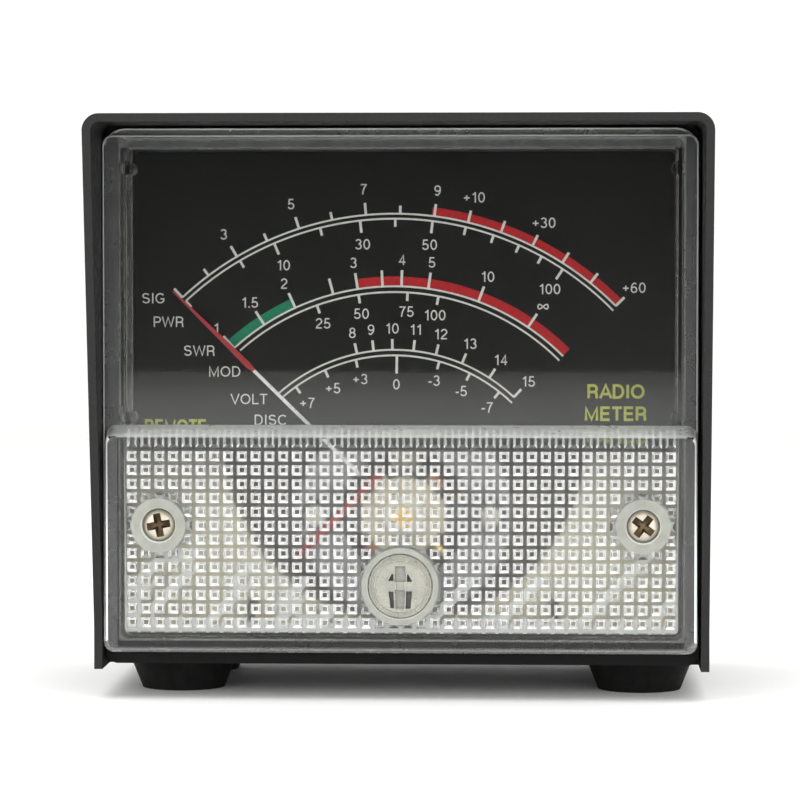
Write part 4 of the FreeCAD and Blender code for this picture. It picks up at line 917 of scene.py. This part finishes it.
# Every character: how far it moves the pen on, and its strokes, for capitals one unit high. A stroke is
# a list of points, or a tuple where it closes on itself.
GLYPHS = {
    "0": (0.70, [oval(0.31, 0.5, 0.235, 0.44)]),
    "1": (0.56, [[(0.10, 0.76), (0.22, 0.80), (0.30, 0.88), (0.335, 0.97)], [(0.34, 1.0), (0.34, 0)]]),
    "2": (0.70, [bow(0.30, 0.70, 0.225, 0.245, 172, -28) + [(0.13, 0.20), (0.085, 0.06), (0.54, 0.06)]]),
    "3": (0.70, [bow(0.29, 0.735, 0.20, 0.21, 160, -80), bow(0.29, 0.29, 0.235, 0.235, 85, -160)]),
    "4": (0.71, [[(0.42, 0), (0.42, 0.95), (0.075, 0.285), (0.58, 0.285)]]),
    "5": (0.70, [[(0.50, 0.945), (0.155, 0.945), (0.11, 0.50)] + bow(0.29, 0.315, 0.24, 0.26, 135, -160)]),
    "6": (0.70, SIX),
    "7": (0.68, [[(0.06, 0.943), (0.535, 0.943), (0.38, 0.68), (0.27, 0.38), (0.215, 0)]]),
    "8": (0.70, [oval(0.30, 0.735, 0.195, 0.21), oval(0.30, 0.29, 0.23, 0.235)]),
    "9": (0.70, turned_over(SIX, 0.61)),
    "+": (0.70, [[(0.05, 0.45), (0.55, 0.45)], [(0.30, 0.20), (0.30, 0.70)]]),
    "-": (0.45, [[(0.05, 0.37), (0.35, 0.37)]]),
    ".": (0.30, [[(0.05, 0.065), (0.18, 0.065)]]),
    "∞": (1.05, [tuple((0.5 + 0.44 * math.sin(math.radians(15 * k)),
                        0.36 + 0.22 * math.sin(math.radians(30 * k))) for k in range(24))]),
    "A": (0.70, [[(0.02, 0), (0.33, 0.97), (0.64, 0)], [(0.12, 0.31), (0.54, 0.31)]]),
    "C": (0.78, [bow(0.38, 0.5, 0.31, 0.44, 42, 318)]),
    "D": (0.76, [tuple([(0.10, 0.055), (0.10, 0.945)] + bow(0.32, 0.5, 0.29, 0.445, 90, -90))]),
    "E": (0.68, [[(0.56, 0.945), (0.10, 0.945), (0.10, 0.055), (0.57, 0.055)], [(0.10, 0.51), (0.53, 0.51)]]),
    "G": (0.82, [bow(0.38, 0.5, 0.31, 0.44, 42, 318) + [(0.64, 0.28), (0.64, 0.44), (0.40, 0.44)]]),
    "I": (0.30, [[(0.12, 0), (0.12, 1)]]),
    "L": (0.60, [[(0.10, 1), (0.10, 0.055), (0.53, 0.055)]]),
    "M": (0.88, [[(0.10, 0), (0.10, 0.95), (0.41, 0.08), (0.72, 0.95), (0.72, 0)]]),
    "N": (0.78, [[(0.10, 0), (0.10, 0.93), (0.60, 0.07), (0.60, 1)]]),
    "O": (0.84, [oval(0.39, 0.5, 0.32, 0.44)]),
    "P": (0.66, [P_BOWL]),
    "R": (0.74, [P_BOWL, [(0.38, 0.455), (0.50, 0.42), (0.545, 0.30), (0.55, 0.08), (0.60, 0)]]),
    "S": (0.70, [bow(0.31, 0.73, 0.22, 0.21, 20, 255) + bow(0.32, 0.29, 0.235, 0.23, 75, -165)]),
    "T": (0.66, [[(0.02, 0.945), (0.58, 0.945)], [(0.30, 0.945), (0.30, 0)]]),
    "V": (0.72, [[(0.03, 1), (0.33, 0.03), (0.63, 1)]]),
    "W": (1.00, [[(0.04, 1), (0.25, 0.04), (0.47, 0.93), (0.69, 0.04), (0.90, 1)]]),
}


def write(bm, text, cap, x, z, weight, wide):
    """A word on the dial with its middle at that place; weight is the stroke's part of the height."""
    length = sum(GLYPHS[letter][0] * wide for letter in text)
    pen = -length / 2 + 0.04
    for letter in text:
        advance, strokes = GLYPHS[letter]
        for order, stroke in enumerate(strokes):
            line = [(x + (pen + px * wide) * cap, z + (py - 0.5) * cap) for px, py in stroke]
            ribbon(bm, line, weight * cap, INK + 0.003 * order, isinstance(stroke, tuple))
        pen += advance * wide


WHITE = ink("white_ink", (0.68, 0.68, 0.63), (0.82, 0.82, 0.77))
RED = ink("red_ink", (0.42, 0.010, 0.014), (0.58, 0.02, 0.026))
GREEN = ink("green_ink", (0.008, 0.19, 0.10), (0.016, 0.27, 0.15))
YELLOW = ink("yellow_green_ink", (0.42, 0.46, 0.055), (0.55, 0.58, 0.09))

# Every scale but SIG: the radius of its line, where the line starts and ends, the length of its ticks
# (inwards when negative), the radius of its numbers, and its ticks with what is printed at them.
Scale = namedtuple("Scale", "radius start end reach numbers_at ticks")
LONG, SHORT = 1.8, 1.2
PWR = Scale(45.53, -43.0, 45.5, -LONG, 42.0,
            [(-43.0, ""), (-30.3, ""), (-23.1, "10"), (-14.0, ""), (-6.4, "30"), (0.2, ""), (7.2, "50"),
             (13.5, ""), (18.9, ""), (24.0, ""), (28.7, ""), (33.3, "100")])
SWR = Scale(35.5, -42.2, 44.9, 2.4, 39.45,
            [(-42.2, "1"), (-33.0, "1.5"), (-24.5, "2"), (-14.8, ""), (-8.8, "3"), (-2.8, ""), (1.75, "4"),
             (8.2, "5"), (20.6, "10"), (34.0, "∞")])
MOD = Scale(34.65, -41.5, 45.0, -1.28, 31.8, [(-19.4, "25"), (-8.8, "50"), (3.3, "75"), (10.95, "100")])
VOLT = Scale(26.07, -41.5, 43.1, 1.6, 29.25,
             [(-12.25, "8"), (-6.75, "9"), (-0.6, "10"), (6.3, "11"), (13.75, "12"), (22.7, "13"),
              (32.8, "14"), (43.0, "15")])
DISC = Scale(25.25, -41.5, 43.9, -1.2, 22.3,
             [(-35.5, "+7"), (-24.1, "+5"), (-13.1, "+3"), (0.9, "0"), (15.4, "-3"), (26.5, "-5"),
              (38.2, "-7")])
SCALES = (PWR, SWR, MOD, VOLT, DISC)
CENTRE_TICK, CENTRE_LABEL_R = 2.7, 20.95

# SIG has even ticks, some of them short, and numbers at some of them.
SIG_R, SIG_LABEL_R = 46.27, 50.1
SIG_START, SIG_STEP, SIG_END = -43.0, 6.3, 45.2
SIG_TICKS, SIG_SHORT = 15, (1, 3, 5, 7)
SIG_LABELS = {2: "3", 4: "5", 6: "7", 8: "9", 9: "+10", 11: "+30", 14: "+60"}

# The coloured bands: how far they reach over the line they stand on, and where they start and end.
BAND_FOOT, SIG_BAND, SWR_BAND = 0.14, 1.29, 1.47
SIG_RED_START = 6.9
GREEN_END, SWR_RED_START, SWR_RED_END = -24.5, -8.8, 44.8

SMALL_CAP, NUMBER_WEIGHT, NUMBER_WIDE = 1.54, 0.125, 1.12
NAME_WEIGHT, NAME_WIDE = 0.13, 1.3
NAMES = (("SIG", -37.25, 56.7), ("PWR", -35.0, 53.2), ("SWR", -30.4, 48.9), ("MOD", -26.65, 45.8),
         ("VOLT", -23.0, 41.7), ("DISC", -19.8, 38.6))
TITLE_CAP, TITLE_WEIGHT = 2.0, 0.2
TITLE = (("REMOTE", -34.0, 37.6, 1.05), ("RADIO", 31.5, 42.9, 1.3), ("METER", 31.5, 39.6, 1.3),
         ("PANEL", 31.5, 36.3, 1.3))


def line_on(bm, radius, start, end):
    sweep(bm, radius - LINE_WIDTH / 2, radius + LINE_WIDTH / 2, start, end)


def scale_lines(bm):
    line_on(bm, SIG_R, SIG_START, SIG_END)
    for scale in SCALES:
        line_on(bm, scale.radius, scale.start, scale.end)


def scale_ticks(bm):
    for k in range(SIG_TICKS):
        tick(bm, SIG_R, SIG_R + (SHORT if k in SIG_SHORT else LONG), SIG_START + SIG_STEP * k)
    for scale in SCALES:
        for angle, label in scale.ticks:
            reach = -SHORT if scale is PWR and not label else scale.reach
            if label == "0":
                reach = -CENTRE_TICK
            end = scale.radius + reach
            tick(bm, min(scale.radius, end), max(scale.radius, end), angle)


def red_bands(bm):
    sweep(bm, SIG_R + BAND_FOOT, SIG_R + SIG_BAND, SIG_RED_START, SIG_END, UNDER_INK)
    sweep(bm, SWR.radius + BAND_FOOT, SWR.radius + SWR_BAND, SWR_RED_START, SWR_RED_END, UNDER_INK)


def green_band(bm):
    sweep(bm, SWR.radius + BAND_FOOT, SWR.radius + SWR_BAND, SWR.start, GREEN_END, UNDER_INK)


def numbers(bm):
    for k, text in SIG_LABELS.items():
        middle = on_arc(SIG_LABEL_R, SIG_START + SIG_STEP * k)
        write(bm, text, SMALL_CAP, *middle, NUMBER_WEIGHT, NUMBER_WIDE)
    for scale in SCALES:
        for angle, text in scale.ticks:
            radius = CENTRE_LABEL_R if text == "0" else scale.numbers_at
            write(bm, text, SMALL_CAP, *on_arc(radius, angle), NUMBER_WEIGHT, NUMBER_WIDE)


def names(bm):
    for text, x, z in NAMES:
        write(bm, text, SMALL_CAP, x, z, NAME_WEIGHT, NAME_WIDE)


def title(bm):
    for text, x, z, wide in TITLE:
        write(bm, text, TITLE_CAP, x, z, TITLE_WEIGHT, wide)


for name, build, tint in (("dial_scale_lines", scale_lines, WHITE), ("dial_scale_ticks", scale_ticks, WHITE),
                          ("dial_red_bands", red_bands, RED), ("dial_green_band", green_band, GREEN),
                          ("dial_numbers", numbers, WHITE), ("dial_names", names, WHITE),
                          ("dial_title", title, YELLOW)):
    place(solid(name, build), [tint], "case")


# ---- Soft edges on the frame's own parts ----

EDGES = {"case_cover": 0.22, "chassis": 0.15, "rubber_feet": 0.45, "meter_base": 0.15, "front_bridge": 0.12,
         "dc_jack": 0.12, "meter_jack": 0.12, "dc_jack_nut": 0.12, "jack_nut": 0.1, "cover_screws": 0.05}
EDGE_ANGLE = 35

for name, width in EDGES.items():
    bevel = NODES[name].modifiers.new("edge", "BEVEL")
    bevel.width = width * MM
    bevel.segments = 2
    bevel.limit_method = "ANGLE"
    bevel.angle_limit = math.radians(EDGE_ANGLE)
    bevel.harden_normals = True


# ---- Room, lights and camera ----

# The room, in metres: half its width, where the floor starts to curve, how far back the curve goes and
# its height, and the top of the wall.
ROOM_SIDE = 1.6
CURVE_START, CURVE_DEEP, CURVE_HIGH = 0.75, 0.35, 0.35
ROOM_TOP = 1.6
CURVE_STEPS = 16
# Every soft light: its place, its width and height in metres, and its watts.
LIGHTS = {"light_top": ((0.0, -0.15, 0.85), 1.3, 0.9, 8.0),
          "light_left": ((-0.85, -0.35, 0.40), 0.8, 0.8, 3.5),
          "light_right": ((0.85, -0.40, 0.40), 0.8, 0.8, 3.0),
          "light_front_left": ((-0.55, -1.1, 0.45), 0.5, 0.5, 3.6),
          "light_front_right": ((0.60, -1.1, 0.40), 0.5, 0.5, 3.2)}
ROOM_LIGHT = (1.0, 0.99, 0.965, 1)
# The camera stands half a metre in front of the object, a little to the right and above its middle.
CAMERA_PLACE = (21.0, -490.0, 61.0)
CAMERA_AIM = (0, 0, 42.05)
CAMERA_LENS, CAMERA_SENSOR = 152.2, 36


def backdrop():
    """A pale sweep: a floor that curves up behind the object."""
    profile = [(-ROOM_SIDE, 0.0)]
    for step in range(CURVE_STEPS + 1):
        turn = math.pi / 2 * step / CURVE_STEPS
        profile.append((CURVE_START + CURVE_DEEP * math.sin(turn), CURVE_HIGH * (1 - math.cos(turn))))
    profile.append((CURVE_START + CURVE_DEEP, ROOM_TOP))
    bm = bmesh.new()
    left, right = [[bm.verts.new((side, y, z)) for y, z in profile] for side in (-ROOM_SIDE, ROOM_SIDE)]
    for i in range(len(profile) - 1):
        bm.faces.new((left[i], right[i], right[i + 1], left[i + 1]))
    mesh = bpy.data.meshes.new("backdrop")
    bm.to_mesh(mesh)
    bm.free()
    made = bpy.data.objects.new("backdrop", mesh)
    bpy.context.scene.collection.objects.link(made)
    shade(made, 40)
    paper = Surface("backdrop_paper", 0.75)
    paper.colour(paper.noise(60.0, 3.0), grey(0.87), grey(0.90))
    paper.relief(paper.noise(1.5, 3.0), 0.02, 0.3)
    mesh.materials.append(paper.material)


def softbox(name, stands, width, height, power):
    """A rectangular light that faces the middle of the object."""
    light = bpy.data.lights.new(name, "AREA")
    light.shape = "RECTANGLE"
    light.size = width
    light.size_y = height
    light.energy = power
    made = bpy.data.objects.new(name, light)
    made.location = stands
    middle = (cad_low + cad_high) / 2
    made.rotation_euler = (middle - Vector(stands)).to_track_quat("-Z", "Y").to_euler()
    bpy.context.scene.collection.objects.link(made)


def studio(dark, bright, near, far, aside, up):
    """A pale room with a dim patch in the direction that the clear front mirrors: dark within near
    degrees of it and bright beyond far degrees. To the camera itself the room is plain white."""
    world = bpy.data.worlds.new("studio")
    world.use_nodes = True
    tree = world.node_tree
    towards = add_node(tree, "ShaderNodeVectorMath", operation="DOT_PRODUCT")
    turn, rise = math.radians(aside), math.radians(up)
    towards.inputs[1].default_value = (math.sin(turn) * math.cos(rise), -math.cos(turn) * math.cos(rise),
                                       math.sin(rise))
    tree.links.new(tree.nodes.new("ShaderNodeTexCoord").outputs["Generated"], towards.inputs[0])
    patch = add_node(tree, "ShaderNodeMapRange", interpolation_type="SMOOTHSTEP", To_Min=bright, To_Max=dark,
                     From_Min=math.cos(math.radians(far)), From_Max=math.cos(math.radians(near)))
    tree.links.new(towards.outputs["Value"], patch.inputs["Value"])
    background = tree.nodes["Background"]
    background.inputs["Color"].default_value = ROOM_LIGHT
    seen = add_node(tree, "ShaderNodeMix", B=1.0)
    tree.links.new(tree.nodes.new("ShaderNodeLightPath").outputs["Is Camera Ray"], seen.inputs["Factor"])
    tree.links.new(patch.outputs["Result"], seen.inputs["A"])
    tree.links.new(seen.outputs["Result"], background.inputs["Strength"])
    return world


backdrop()
for name, values in LIGHTS.items():
    softbox(name, *values)

scene = bpy.context.scene
scene.world = studio(dark=0.05, bright=0.62, near=3.0, far=13.0, aside=-2.5, up=5.0)
scene.view_settings.view_transform = "Standard"

camera_data = bpy.data.cameras.new("camera")
camera_data.lens = CAMERA_LENS
camera_data.sensor_width = CAMERA_SENSOR
camera = bpy.data.objects.new("camera", camera_data)
camera.location = at(*CAMERA_PLACE)
aim = at(*CAMERA_AIM) - camera.location
camera.rotation_euler = aim.to_track_quat("-Z", "Y").to_euler()
scene.collection.objects.link(camera)
scene.camera = camera
